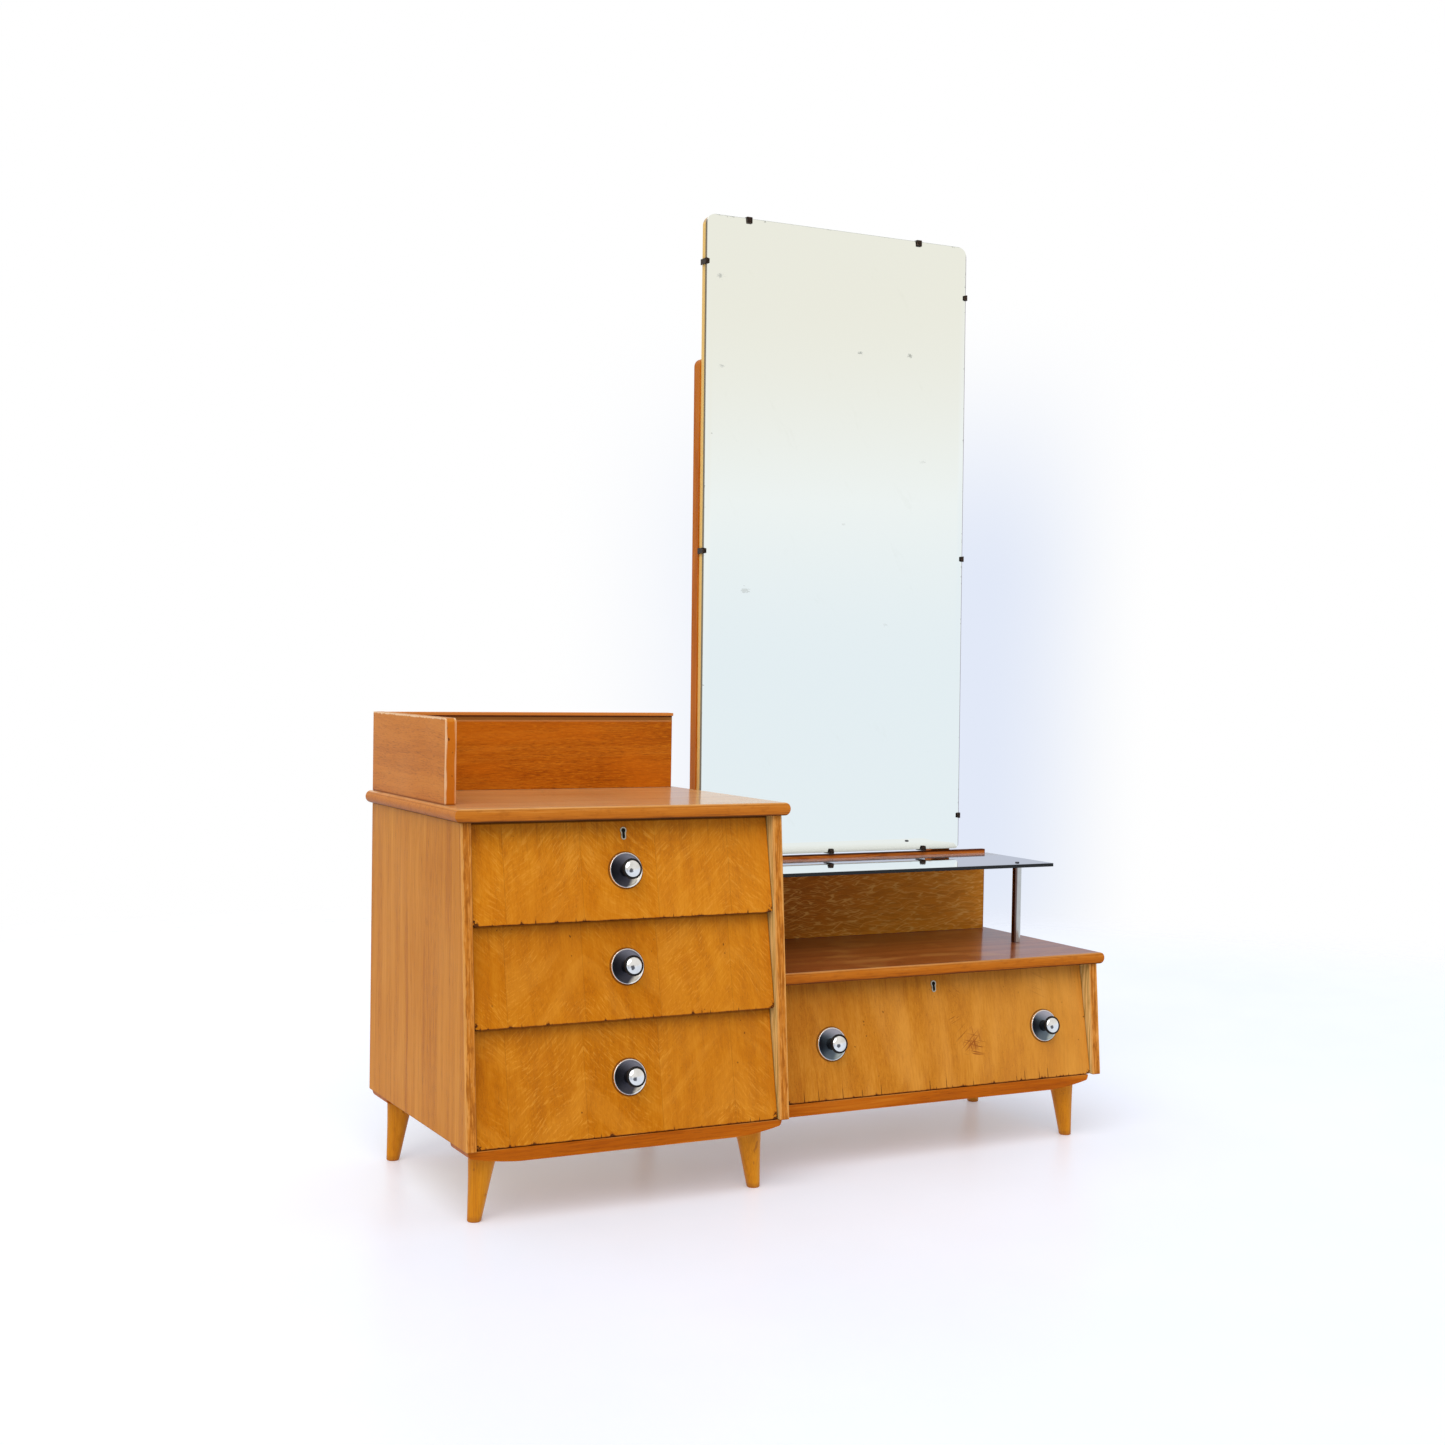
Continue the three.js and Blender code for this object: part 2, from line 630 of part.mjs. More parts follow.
// The open box behind a front: two sides cut to the front's slope, and a back.
function drawerBox(drawer, left, right) {
  const low = drawer.floor + SLIDE_GAP;
  const high = low + drawer.boxHeight;
  const frontAt = (z) => faceY(drawer, z) + FRONT + GAP;
  const side = outline([
    [frontAt(low), low],
    [-BOX_BACK_GAP, low],
    [-BOX_BACK_GAP, high],
    [frontAt(high), high],
  ]);
  return joined(
    alongX(side, left, left + BOX_SIDE),
    alongX(side, right - BOX_SIDE, right),
    block([left + 1, right - 1], [-BOX_BACK_GAP - BOX_SIDE, -BOX_BACK_GAP], [low, high]),
  );
}

function drawerBottom(drawer, left, right) {
  const low = drawer.floor + SLIDE_GAP + BOX_BOTTOM_RISE;
  const front = faceY(drawer, low) + FRONT + 2;
  const width = [left + BOX_SIDE + GAP, right - BOX_SIDE - GAP];
  return block(width, [front, -BOX_BACK_GAP - BOX_SIDE - GAP], [low, low + BOX_BOTTOM]);
}

function addDrawer(drawer, innerLeft, innerRight) {
  const name = `drawer_${drawer.name}`;
  const left = innerLeft + FRONT_CLEARANCE;
  const right = innerRight - FRONT_CLEARANCE;
  const boxEnds = [left + BOX_INSET, right - BOX_INSET];
  addMesh(`${name}_front`, drawerFront(drawer, left, right), oakVeneer);
  addMesh(`${name}_box`, drawerBox(drawer, ...boxEnds), rawWood);
  addMesh(`${name}_bottom`, drawerBottom(drawer, ...boxEnds), rawWood);
  const suffixes = drawer.knobs.length > 1 ? ["_left", "_right"] : [""];
  drawer.knobs.forEach(([x, z], index) => {
    const frame = faceFrame(drawer, x, z);
    vanity.add(frame);
    addMesh(`rose_${drawer.name}${suffixes[index]}`, rose(), chrome, frame);
    addMesh(`knob_${drawer.name}${suffixes[index]}`, knob(), blackPlastic, frame);
  });
  if (drawer.lock) {
    const frame = faceFrame(drawer, ...drawer.lock);
    vanity.add(frame);
    addMesh(`escutcheon_${drawer.name}`, escutcheon(), chrome, frame);
  }
}

// ---------------------------------------------------------------- assembly

addChest();
addGallery();
addConsole();
addUpstand();
addShelf();
addMirror();
for (const drawer of DRAWERS) {
  const inConsole = drawer.name === "wide";
  const innerLeft = inConsole ? CONSOLE_LEFT + CONSOLE_SIDE : BOARD;
  const innerRight = inConsole ? CONSOLE_RIGHT - BOARD : CHEST_WIDTH - BOARD;
  addDrawer(drawer, innerLeft, innerRight);
}

// The origin goes to the middle of the footprint.
const extent = new THREE.Box3().setFromObject(vanity, true);
const middle = extent.getCenter(new THREE.Vector3());
vanity.position.set(-middle.x, -middle.y, 0);

export default vanity;
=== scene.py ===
"""The look of the vanity table: materials, light, camera and small pieces the frame leaves out.

Everything is in metres in the frame's own axes: +Z up, drawers opening towards -Y.
"""
import math

import bmesh
import bpy
from mathutils import Matrix, Vector

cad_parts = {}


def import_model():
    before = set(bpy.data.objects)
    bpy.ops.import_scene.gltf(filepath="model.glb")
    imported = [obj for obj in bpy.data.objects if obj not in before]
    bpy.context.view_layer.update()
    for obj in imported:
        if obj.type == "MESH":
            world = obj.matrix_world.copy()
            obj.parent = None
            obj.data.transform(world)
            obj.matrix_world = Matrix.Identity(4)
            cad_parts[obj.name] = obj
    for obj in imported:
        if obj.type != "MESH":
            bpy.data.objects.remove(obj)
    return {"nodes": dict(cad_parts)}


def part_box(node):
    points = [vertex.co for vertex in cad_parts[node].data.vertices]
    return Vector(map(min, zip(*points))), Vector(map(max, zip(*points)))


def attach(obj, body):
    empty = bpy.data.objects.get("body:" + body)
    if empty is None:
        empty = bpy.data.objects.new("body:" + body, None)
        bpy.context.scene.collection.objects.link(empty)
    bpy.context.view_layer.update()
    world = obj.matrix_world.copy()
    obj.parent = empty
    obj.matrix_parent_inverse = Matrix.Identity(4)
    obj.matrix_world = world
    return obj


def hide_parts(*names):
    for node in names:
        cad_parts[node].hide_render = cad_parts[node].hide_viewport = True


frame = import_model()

for leftover in ("Cube", "Light", "Camera"):
    if leftover in bpy.data.objects:
        bpy.data.objects.remove(bpy.data.objects[leftover])
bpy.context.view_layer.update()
NODES = frame["nodes"]

MM = 0.001
DRAWER_TILT = math.radians(11)
SIDE_SLOPE = math.radians(5)
MIRROR_LEAN = math.radians(0.6)
BACK_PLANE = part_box("chest_top")[1].y
MIRROR_PIVOT = Vector((0, BACK_PLANE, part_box("console_top")[1].z + 0.3 * MM))


def srgb(red, green, blue):
    """A screen colour of 0 to 255 as linear red, green, blue, alpha."""
    channels = []
    for value in (red, green, blue):
        c = value / 255
        channels.append(c / 12.92 if c <= 0.04045 else ((c + 0.055) / 1.055) ** 2.4)
    return (*channels, 1.0)


# ------------------------------------------------------------------ shader graphs

class Value:
    """A shader socket that adds to, subtracts from and multiplies numbers and other sockets."""

    def __init__(self, graph, socket):
        self.graph = graph
        self.socket = socket

    def __add__(self, other):
        return self.graph.math("ADD", self, other)

    def __sub__(self, other):
        return self.graph.math("SUBTRACT", self, other)

    def __rsub__(self, other):
        return self.graph.math("SUBTRACT", other, self)

    def __mul__(self, other):
        return self.graph.math("MULTIPLY", self, other)


class Graph:
    """A material's or a world's nodes, built with short calls that take numbers, colours,
    vectors or Values."""

    offset = (0, 0, 0)

    def __init__(self, owner):
        """owner is a world, or the name of a new material."""
        self.owner = bpy.data.materials.new(owner) if isinstance(owner, str) else owner
        self.owner.use_nodes = True
        self.tree = self.owner.node_tree
        self.tree.nodes.clear()
        coordinates = self.node("TexCoord").outputs
        self.place = Value(self, coordinates["Object"])
        self.direction = Value(self, coordinates["Generated"])
        self.xyz = self.parts(self.place)

    def node(self, kind, inputs=None, **settings):
        node = self.tree.nodes.new("ShaderNode" + kind)
        for key, value in settings.items():
            setattr(node, key, value)
        for key, value in (inputs or {}).items():
            if isinstance(value, Value):
                self.tree.links.new(value.socket, node.inputs[key])
            else:
                node.inputs[key].default_value = value
        return node

    def add(self, kind, inputs=None, output=0, **settings):
        """A new node's output."""
        return Value(self, self.node(kind, inputs, **settings).outputs[output])

    def parts(self, vector):
        return [Value(self, socket) for socket in self.node("SeparateXYZ", {0: vector}).outputs]

    def math(self, operation, a, b=0.0):
        return self.add("Math", {0: a, 1: b}, operation=operation)

    def least(self, *values):
        result = values[0]
        for value in values[1:]:
            result = self.math("MINIMUM", result, value)
        return result

    def most(self, *values):
        result = values[0]
        for value in values[1:]:
            result = self.math("MAXIMUM", result, value)
        return result

    def fade(self, value, start, end):
        """0 at start, 1 at end, smooth between them; start may be the larger."""
        inputs = {"Value": value, "From Min": start, "From Max": end}
        return self.add("MapRange", inputs, interpolation_type="SMOOTHSTEP")

    def within(self, value, start, end):
        """The same, with start and end in millimetres."""
        return self.fade(value, start * MM, end * MM)

    def spread(self, value, low, high):
        """A value of 0 to 1 taken to low to high."""
        return self.add("MapRange", {"Value": value, "To Min": low, "To Max": high})

    def scaled(self, scale, offset=(0, 0, 0), turn=None, vector=None):
        """A position turned, then scaled, then shifted."""
        vector = vector or self.place
        scale = scale if isinstance(scale, tuple) else (scale,) * 3
        if turn:
            vector = self.add("Mapping", {0: vector, "Rotation": turn})
        return self.add("Mapping", {0: vector, "Location": offset, "Scale": scale})

    def noise(self, scale, detail=2.0, rough=0.5, warp=0.0, offset=None, turn=None, vector=None):
        """Noise of so many lumps a metre, shifted by this graph's own offset."""
        vector = self.scaled(scale, self.offset if offset is None else offset, turn, vector)
        inputs = {"Vector": vector, "Scale": 1.0, "Detail": detail, "Roughness": rough}
        return self.add("TexNoise", {**inputs, "Distortion": warp})

    def mix(self, factor, a, b):
        return self.add("Mix", {0: factor, 6: a, 7: b}, 2, data_type="RGBA")

    def ramp(self, value, *stops):
        node = self.node("ValToRGB", {0: value})
        elements = node.color_ramp.elements
        while len(elements) < len(stops):
            elements.new(0.5)
        for element, (position, colour) in zip(elements, stops):
            element.position = position
            element.color = colour
        return Value(self, node.outputs[0])

    def voronoi(self, position, scale):
        """Distance to the nearest of some random points along a line, and their random number."""
        node = self.node("TexVoronoi", {"W": position, "Scale": scale}, voronoi_dimensions="1D")
        number = self.add("SeparateColor", {0: Value(self, node.outputs["Color"])})
        return Value(self, node.outputs["Distance"]) * (1 / scale), number

    def combine(self, x, y, z):
        return self.add("CombineXYZ", {0: x, 1: y, 2: z})

    def distance(self, point):
        return self.add("VectorMath", {0: self.place, 1: point}, "Value", operation="DISTANCE")

    def bump(self, height, distance, strength=1.0):
        return self.add("Bump", {"Height": height, "Distance": distance, "Strength": strength})

    def finish(self, **inputs):
        names = {key.replace("_", " ").title(): value for key, value in inputs.items()}
        if "Specular" in names:
            names["Specular IOR Level"] = names.pop("Specular")
        self.node("OutputMaterial", {0: self.add("BsdfPrincipled", names)})
        return self.owner


def seed_of(name):
    """A fixed offset for a piece, so that no two boards share their grain."""
    total = sum(ord(letter) * (index + 3) for index, letter in enumerate(name))
    return (total % 97 * 1.37, total % 89 * 2.11, total % 83 * 1.73)


AXES = {"x": 0, "y": 1, "z": 2}


def along(grain, lengthwise, crosswise):
    """A scale of lengthwise on the grain's axis and crosswise on the other two."""
    scale = [crosswise] * 3
    scale[AXES[grain]] = lengthwise
    return tuple(scale)


def edge_distance(g, low, high):
    """How far a point of a board's surface is from the board's nearest edge."""
    x, y, z = g.xyz
    dx = g.least(x - low.x, high.x - x)
    dy = g.least(y - low.y, high.y - y)
    dz = g.least(z - low.z, high.z - z)
    return g.most(g.least(dx, dy), g.least(g.most(dx, dy), dz))


# ------------------------------------------------------------------ wood

def tones(red, green, blue, spread=1.0):
    """Dark grain, body colour and light grain of a wood, from its body colour on a screen."""
    body = (red, green, blue)
    dark = [c * (1 - f * spread) for c, f in zip(body, (0.13, 0.20, 0.30))]
    light = [c + (255 - c) * f * spread for c, f in zip(body, (0.20, 0.12, 0.07))]
    return (srgb(*dark), srgb(*body), srgb(*light))


# One veneer on the three chest fronts, painted a little darker from the upper to the lower: painted
# shade lower down.
VENEER = {"upper": tones(197, 115, 8), "middle": tones(190, 110, 4), "lower": tones(184, 105, 2)}
VENEER["wide"] = tones(188, 117, 28)
SIDE = tones(198, 123, 30)
# The chest top's tone is paler than its wood alone: partly painted sheen on its lacquer.
TOP = tones(214, 156, 96)
CONSOLE_TOP = tones(142, 72, 28)
# The tops' front lipping, from its painted shaded bottom to its painted lit top.
LIPPING_SHADED_TO_LIT = (srgb(134, 66, 6), srgb(174, 93, 8), srgb(192, 110, 20), srgb(206, 132, 52))
BARE = (srgb(190, 156, 84), srgb(244, 208, 134))
RUBBED = srgb(218, 156, 82)
AMBER = tones(174, 88, 4)
GALLERY_SIDE = tones(198, 117, 34)
SHINE = srgb(244, 208, 162)
QUARTERED = tones(178, 86, 9)
ORANGE = tones(182, 96, 12)
RAIL = tones(174, 88, 4)
HONEY = tones(200, 125, 14)
RAW = tones(206, 170, 122, 0.6)
# Dark brown for real dirt, dark joints and knots, and for painted shade under and between parts.
DIRT_AND_SHADE = srgb(62, 30, 10)
# Red-brown for stains, and for painted shade along the feet of boards.
STAIN_AND_SHADE = srgb(128, 64, 14)
WORN = srgb(208, 150, 78)


class Wood(Graph):
    """A varnished board: fibre, growth bands, pores and clouds, then whatever a piece adds."""

    def __init__(self, node, grain, tones, contrast=1.0, pores=0.5):
        super().__init__("wood_" + node)
        self.offset = seed_of(node)
        warp = self.noise(2.2, 2)
        sway = self.combine(*[warp * (0.05 if a != AXES[grain] else 0.0) for a in range(3)])
        self.bent = self.add("VectorMath", {0: self.place, 1: sway}, operation="ADD")
        self.fibre = self.noise(along(grain, 7, 420), 4, rough=0.62, vector=self.bent)
        bands = self.noise(along(grain, 1.3, 46), 3, warp=0.35, vector=self.bent)
        self.cloud = self.noise(5, 3)
        pore = self.noise(along(grain, 42, 1300), 1)
        self.pore = self.fade(pore, 0.6, 0.7) * self.fade(bands, 0.62, 0.42)
        value = bands * 0.55 + self.fibre * 0.45
        value = (value - 0.5) * contrast + 0.5
        self.colour = self.ramp(value, (0.32, tones[0]), (0.5, tones[1]), (0.66, tones[2]))
        self.tint(self.fade(self.cloud, 0.45, 0.75) * 0.3, tones[0])
        self.tint(self.fade(self.cloud, 0.48, 0.25) * 0.22, tones[2])
        dark = tuple(0.42 * channel for channel in tones[0][:3]) + (1.0,)
        self.tint(self.pore * pores, dark)
        self.height = self.fibre * 0.35 - self.pore * 0.5
        self.roughness = self.spread(self.cloud, 0.34, 0.50)

    def tint(self, mask, colour):
        self.colour = self.mix(mask, self.colour, colour)

    def wear(self, low, high, width, amount):
        """Edges rubbed pale, in patches."""
        distance = edge_distance(self, low, high)
        rough = self.noise(55, 3)
        patches = self.noise(9, 2)
        reach = self.spread(rough, 0.2, 1.6) * (width * MM)
        rubbed = self.within(distance - reach, 0.6, -0.6)
        self.tint(rubbed * self.fade(patches, 0.36, 0.6) * amount, WORN)
        self.roughness = self.roughness + rubbed * 0.12

    def done(self, coat=0.0, specular=0.06, bump=0.12):
        normal = self.bump(self.height, bump * MM, 0.8)
        return self.finish(
            base_color=self.colour,
            roughness=self.roughness,
            specular=specular,
            coat_weight=coat,
            coat_roughness=0.14,
            normal=normal,
        )


def scratches(g, centre, radius, angle, density=620):
    """Fine straight scratches gathered round a point of a front that faces -Y."""
    x, _, z = g.xyz
    dx = x - centre[0]
    dz = z - centre[1]
    near = g.fade(g.math("SQRT", dx * dx + dz * dz), radius, radius * 0.3)
    offset = tuple(value + angle for value in g.offset)
    line = g.noise((density, 20, density * 0.06), 1, offset=offset, turn=(0, angle, 0))
    return g.fade(line, 0.6, 0.66) * near


def bottom_chips(g, low, high, nick_depth, crack_height, corner_size):
    """The bottom edge of a drawer front: a dark line that is painted shadow of the gap beneath, and
    nicks, cracks that run up the grain and chipped corners, painted dark with the shade and grime
    in them.
    The sizes are the greatest reach of each, in metres."""
    x, _, z = g.xyz
    up = z - low.z
    shifted = x + g.offset[0]
    line = g.combine(shifted, 0.0, 0.0)
    nick = g.noise((48, 1, 1), 4, rough=0.7, offset=(0, 0, 0), vector=line)
    reach = g.fade(nick, 0.53, 0.68) * nick_depth
    for spacing in (0.044, 0.016):
        distance, number = g.voronoi(shifted, 1 / spacing)
        height = g.fade(number, 0.55, 1.0) * crack_height
        reach = g.most(reach, g.within(distance, 0.8, 0.2) * height)
    half = (high.x - low.x) / 2
    away = g.math("ABSOLUTE", x - (low.x + half))
    ragged = g.noise(260, 2)
    corner = g.fade(away, half - 12 * MM, half - 1 * MM)
    reach = g.most(reach, corner * g.fade(ragged, 0.4, 0.6) * corner_size)
    # Painted shade: dark in the nicks, cracks and chipped corners, and a red-brown line along the
    # bottom edge over the gap beneath.
    dark = g.within(up - reach, 0.5, -0.3)
    bottom_shade_band = g.within(up - reach * 1.5, 2.6, -0.4)
    g.tint(bottom_shade_band * 0.42, srgb(136, 62, 14))
    patchy = g.spread(g.fade(nick, 0.4, 0.55), 0.25, 0.85)
    g.tint(g.within(up, 1.6, 0.6) * patchy, srgb(108, 44, 12))
    g.tint(dark * 0.86, srgb(66, 31, 11))
    g.height = g.height - dark * 3.0
    g.roughness = g.roughness + dark * 0.3


def ray_figure(g, low, high):
    """Book-matched leaves of veneer whose slanting ray flecks meet in Vs at the joints."""
    x, _, z = g.xyz
    span = high.x - low.x
    leaf = span / 4
    position = g.math("DIVIDE", x - (low.x + 0.105 * span), leaf)
    folded = g.math("PINGPONG", position, 1.0) * leaf
    pair = g.math("FLOOR", position * 0.5) + g.offset[0]
    bend = g.noise(9, 1) * 0.05
    folded_place = g.combine(folded, pair, z + bend)
    turned = g.scaled(1, turn=(0, math.radians(-47), 0), vector=folded_place)
    flecks = g.noise((380, 3, 60), 3, rough=0.6, warp=0.3, vector=turned)
    rays = g.noise((120, 3, 16), 3, rough=0.6, warp=0.4, vector=turned)
    broad = g.noise((36, 3, 7), 2, warp=0.3, vector=turned)
    strength = g.fade(g.noise(8, 2), 0.32, 0.6)
    g.tint(g.fade(flecks, 0.53, 0.66) * (strength * 0.34), srgb(228, 158, 56))
    g.tint(g.fade(flecks, 0.47, 0.34) * (strength * 0.27), srgb(160, 86, 8))
    g.tint(g.fade(rays, 0.54, 0.68) * (strength * 0.16), srgb(226, 154, 50))
    g.tint(g.fade(broad, 0.48, 0.66) * 0.18, srgb(218, 146, 46))
    g.tint(g.fade(broad, 0.46, 0.3) * 0.18, srgb(180, 98, 10))
    leaf_tone = g.add("TexWhiteNoise", {"W": g.math("FLOOR", position)}, noise_dimensions="1D")
    g.tint(leaf_tone * 0.16, srgb(214, 146, 52))
    fraction = g.math("FRACT", position)
    joint = g.fade(g.least(fraction, 1.0 - fraction), 0.008, 0.0)
    g.tint(joint * 0.2, DIRT_AND_SHADE)


def plain_figure(g, low, high):
    """A single mottled sheet of veneer, scratched near its middle and at its upper right."""
    x = g.xyz[0]
    mottle = g.noise((15, 15, 5), 3, warp=0.4)
    streaks = g.noise((260, 90, 7), 3, rough=0.6)
    g.tint(g.fade(mottle, 0.46, 0.7) * 0.3, srgb(226, 160, 72))
    g.tint(g.fade(mottle, 0.46, 0.3) * 0.24, srgb(176, 94, 18))
    g.tint(g.fade(streaks, 0.48, 0.36) * 0.2, srgb(160, 88, 20))
    middle = (low.x + high.x) / 2
    g.tint(g.fade(x, middle - 0.1, high.x) * 0.34, srgb(222, 156, 70))
    spot = (middle + 0.062, low.z + 0.074)
    marks = g.most(
        scratches(g, spot, 0.026, math.radians(12), 430),
        scratches(g, (spot[0] - 0.006, spot[1] + 0.004), 0.030, math.radians(-52), 480),
        scratches(g, (spot[0] + 0.004, spot[1] - 0.010), 0.030, math.radians(76), 430),
        scratches(g, (middle + 0.034, low.z + 0.150), 0.018, math.radians(50)),
        scratches(g, (middle + 0.030, low.z + 0.112), 0.015, math.radians(-70)),
    )
    g.tint(marks * 0.74, srgb(116, 46, 16))
    faint = scratches(g, (middle + 0.215, low.z + 0.158), 0.040, math.radians(66), 260)
    g.tint(faint * 0.22, srgb(124, 60, 20))
    stain = g.noise(60, 3)
    dx, dz = x - spot[0], g.xyz[2] - spot[1]
    away = g.math("SQRT", dx * dx + dz * dz)
    rubbed = g.fade(away + stain * 0.05, 0.046, 0.026)
    g.tint(rubbed * 0.3, srgb(160, 84, 26))
    g.height = g.height - marks * 0.8


def drawer_front(name):
    node = f"drawer_{name}_front"
    low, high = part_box(node)
    g = Wood(node, "z", VENEER[name], contrast=0.8, pores=0.40)
    x, _, z = g.xyz
    if name == "wide":
        plain_figure(g, low, high)
    else:
        ray_figure(g, low, high)
    down = high.z - z
    # The two fronts that tuck under another one get less painted shade at their top.
    shade = 0.5 if name in ("middle", "lower") else 1.0
    # Dark streaks and a darker band at the top of each front: painted shade under the piece above.
    streak = g.noise((300, 40, 5), 3, rough=0.7)
    streaky_top_shade = g.fade(streak, 0.5, 0.7) * g.fade(down, 0.06, 0.004)
    g.tint(streaky_top_shade * (0.36 * shade), srgb(122, 62, 14))
    g.tint(g.fade(down, 0.022, 0.0) * (0.22 * shade), srgb(166, 92, 26))
    speck = g.noise((150, 150, 110), 1)
    rare = g.noise(13, 1)
    dots = g.fade(speck, 0.74, 0.79) * g.fade(rare, 0.5, 0.6)
    g.tint(dots * 0.75, DIRT_AND_SHADE)
    if name == "wide":
        bottom_chips(g, low, high, 4 * MM, 16 * MM, 6 * MM)
    else:
        bottom_chips(g, low, high, 5 * MM, 5 * MM, 11 * MM)
    side = g.least(x - low.x, high.x - x)
    g.tint(g.within(side, 1.4, 0.3) * 0.45, STAIN_AND_SHADE)
    # A dark line along the top edge: painted shadow of the gap under the piece above.
    g.tint(g.within(down, 3.2, 1.2) * (0.8 * shade), srgb(84, 36, 12) if shade < 1 else DIRT_AND_SHADE)
    # A dark ring round each rose: painted contact shadow on the front.
    for rose in [label for label in NODES if label.startswith(f"rose_{name}")]:
        radius = g.distance(sum(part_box(rose), Vector()) / 2)
        g.tint(g.within(radius, 29.6, 27.4) * 0.75, DIRT_AND_SHADE)
    return g.done(bump=0.12)


def side_panel(node):
    """A case side: mottled brown front edge, corners rubbed pale, and a bare pale inner face."""
    low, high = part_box(node)
    g = Wood(node, "z", SIDE, contrast=1.0, pores=0.65)
    x, y, z = g.xyz
    front = y - (z - low.z) * math.tan(SIDE_SLOPE) - low.y
    from_left, from_right = x - low.x, high.x - x
    inner = from_left if node.endswith("right") else from_right
    outer = from_right if node.endswith("right") else from_left
    ragged = g.noise((130, 130, 26), 3, rough=0.6)
    mottle = g.noise((150, 150, 42), 3, rough=0.65)
    streak = g.noise((420, 90, 16), 3, rough=0.6)
    edge_face = g.within(front, 1.2, 0.5)
    g.tint(edge_face * 0.75, srgb(188, 112, 36))
    g.tint(edge_face * g.fade(mottle, 0.5, 0.66) * 0.55, srgb(134, 68, 14))
    g.tint(edge_face * g.fade(mottle, 0.46, 0.34) * 0.45, srgb(218, 152, 76))
    g.tint(edge_face * g.fade(streak, 0.5, 0.62) * 0.6, srgb(138, 74, 16))
    g.tint(edge_face * g.fade(streak, 0.46, 0.36) * 0.4, srgb(226, 160, 84))
    bare = g.within(inner, 1.0, 0.5) * g.within(front, 0.4, 1.2)
    g.tint(bare * 0.85, g.mix(g.fade(g.fibre, 0.4, 0.6), BARE[0], BARE[1]))
    inner_wear = 0.66 if node.endswith("right") else 0.15
    for corner, width, amount in ((inner, 2.6, inner_wear), (outer, 3.4, 0.66)):
        reach = g.spread(ragged, -0.4, 2.0) * (width * MM)
        near = g.within(g.most(corner, front) - reach, 0.9, -0.9)
        g.tint(near * amount, RUBBED)
    g.tint(edge_face * g.within(inner, 1.6, 0.6) * (0.0 if inner_wear > 0.5 else 0.6), STAIN_AND_SHADE)
    g.tint(g.within(g.math("ABSOLUTE", front - 7 * MM), 0.5, 0.0) * 0.3, DIRT_AND_SHADE)
    # A darker line along the foot: painted contact shade.
    g.tint(g.within(z - low.z, 1.6, 0.4) * 0.6, STAIN_AND_SHADE)
    return g.done()


def top_board(node, tones, gloss, edge_glow):
    """A top: a lacquered face, and a front edge lipping painted lighter above than below, painted
    light and shade on its rounded front.
    """
    low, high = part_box(node)
    g = Wood(node, "x", tones, contrast=1.0, pores=0.5)
    _, y, z = g.xyz
    smear = g.noise((7, 13, 9), 4, rough=0.6, warp=0.6)
    g.tint(g.fade(smear, 0.5, 0.66) * 0.26, WORN)
    smudge = g.noise((5, 26, 9), 4, rough=0.65, warp=0.8, turn=(0, 0, 0.35))
    g.tint(g.fade(smudge, 0.5, 0.36) * 0.34, tones[0])
    rise = g.math("DIVIDE", z - low.z, high.z - low.z)
    streak = g.noise((14, 500, 700), 3, rough=0.65)
    grain = (streak - 0.5) * 1.6
    # Lighter at the top of the lipping, darker at its bottom: painted light and shade.
    painted_lipping_shading = g.ramp(rise + grain, (0.0, LIPPING_SHADED_TO_LIT[0]), (0.2, LIPPING_SHADED_TO_LIT[1]), (0.7, LIPPING_SHADED_TO_LIT[2]), (1.0, LIPPING_SHADED_TO_LIT[3]))
    down = high.z - z
    lipping = g.within(down, 0.8, 2.0)
    g.tint(lipping * 0.92, g.mix(edge_glow, painted_lipping_shading, srgb(154, 70, 14)))
    blotch = g.noise((46, 90, 120), 3, rough=0.6)
    g.tint(lipping * g.fade(blotch, 0.5, 0.68) * 0.28, LIPPING_SHADED_TO_LIT[0])
    arris = g.within(down, 2.4, 1.2) * g.within(y - low.y, 2.4, 1.4)
    g.tint(arris * 0.45, RUBBED)
    seam = g.within(g.math("ABSOLUTE", down - 3.4 * MM), 0.9, 0.3)
    g.tint(seam * 0.4, LIPPING_SHADED_TO_LIT[0])
    # A dark line along the lower edge: painted shadow where the top overhangs the drawers.
    g.tint(g.within(z - low.z, 2.4, 1.0) * 0.75, DIRT_AND_SHADE)
    g.roughness = g.spread(smear, 0.34, 0.5)
    lacquer = g.within(down, 2.4, 0.6) * g.spread(smear, gloss + 0.1, gloss - 0.1)
    return g.done(coat=lacquer, specular=0.08)


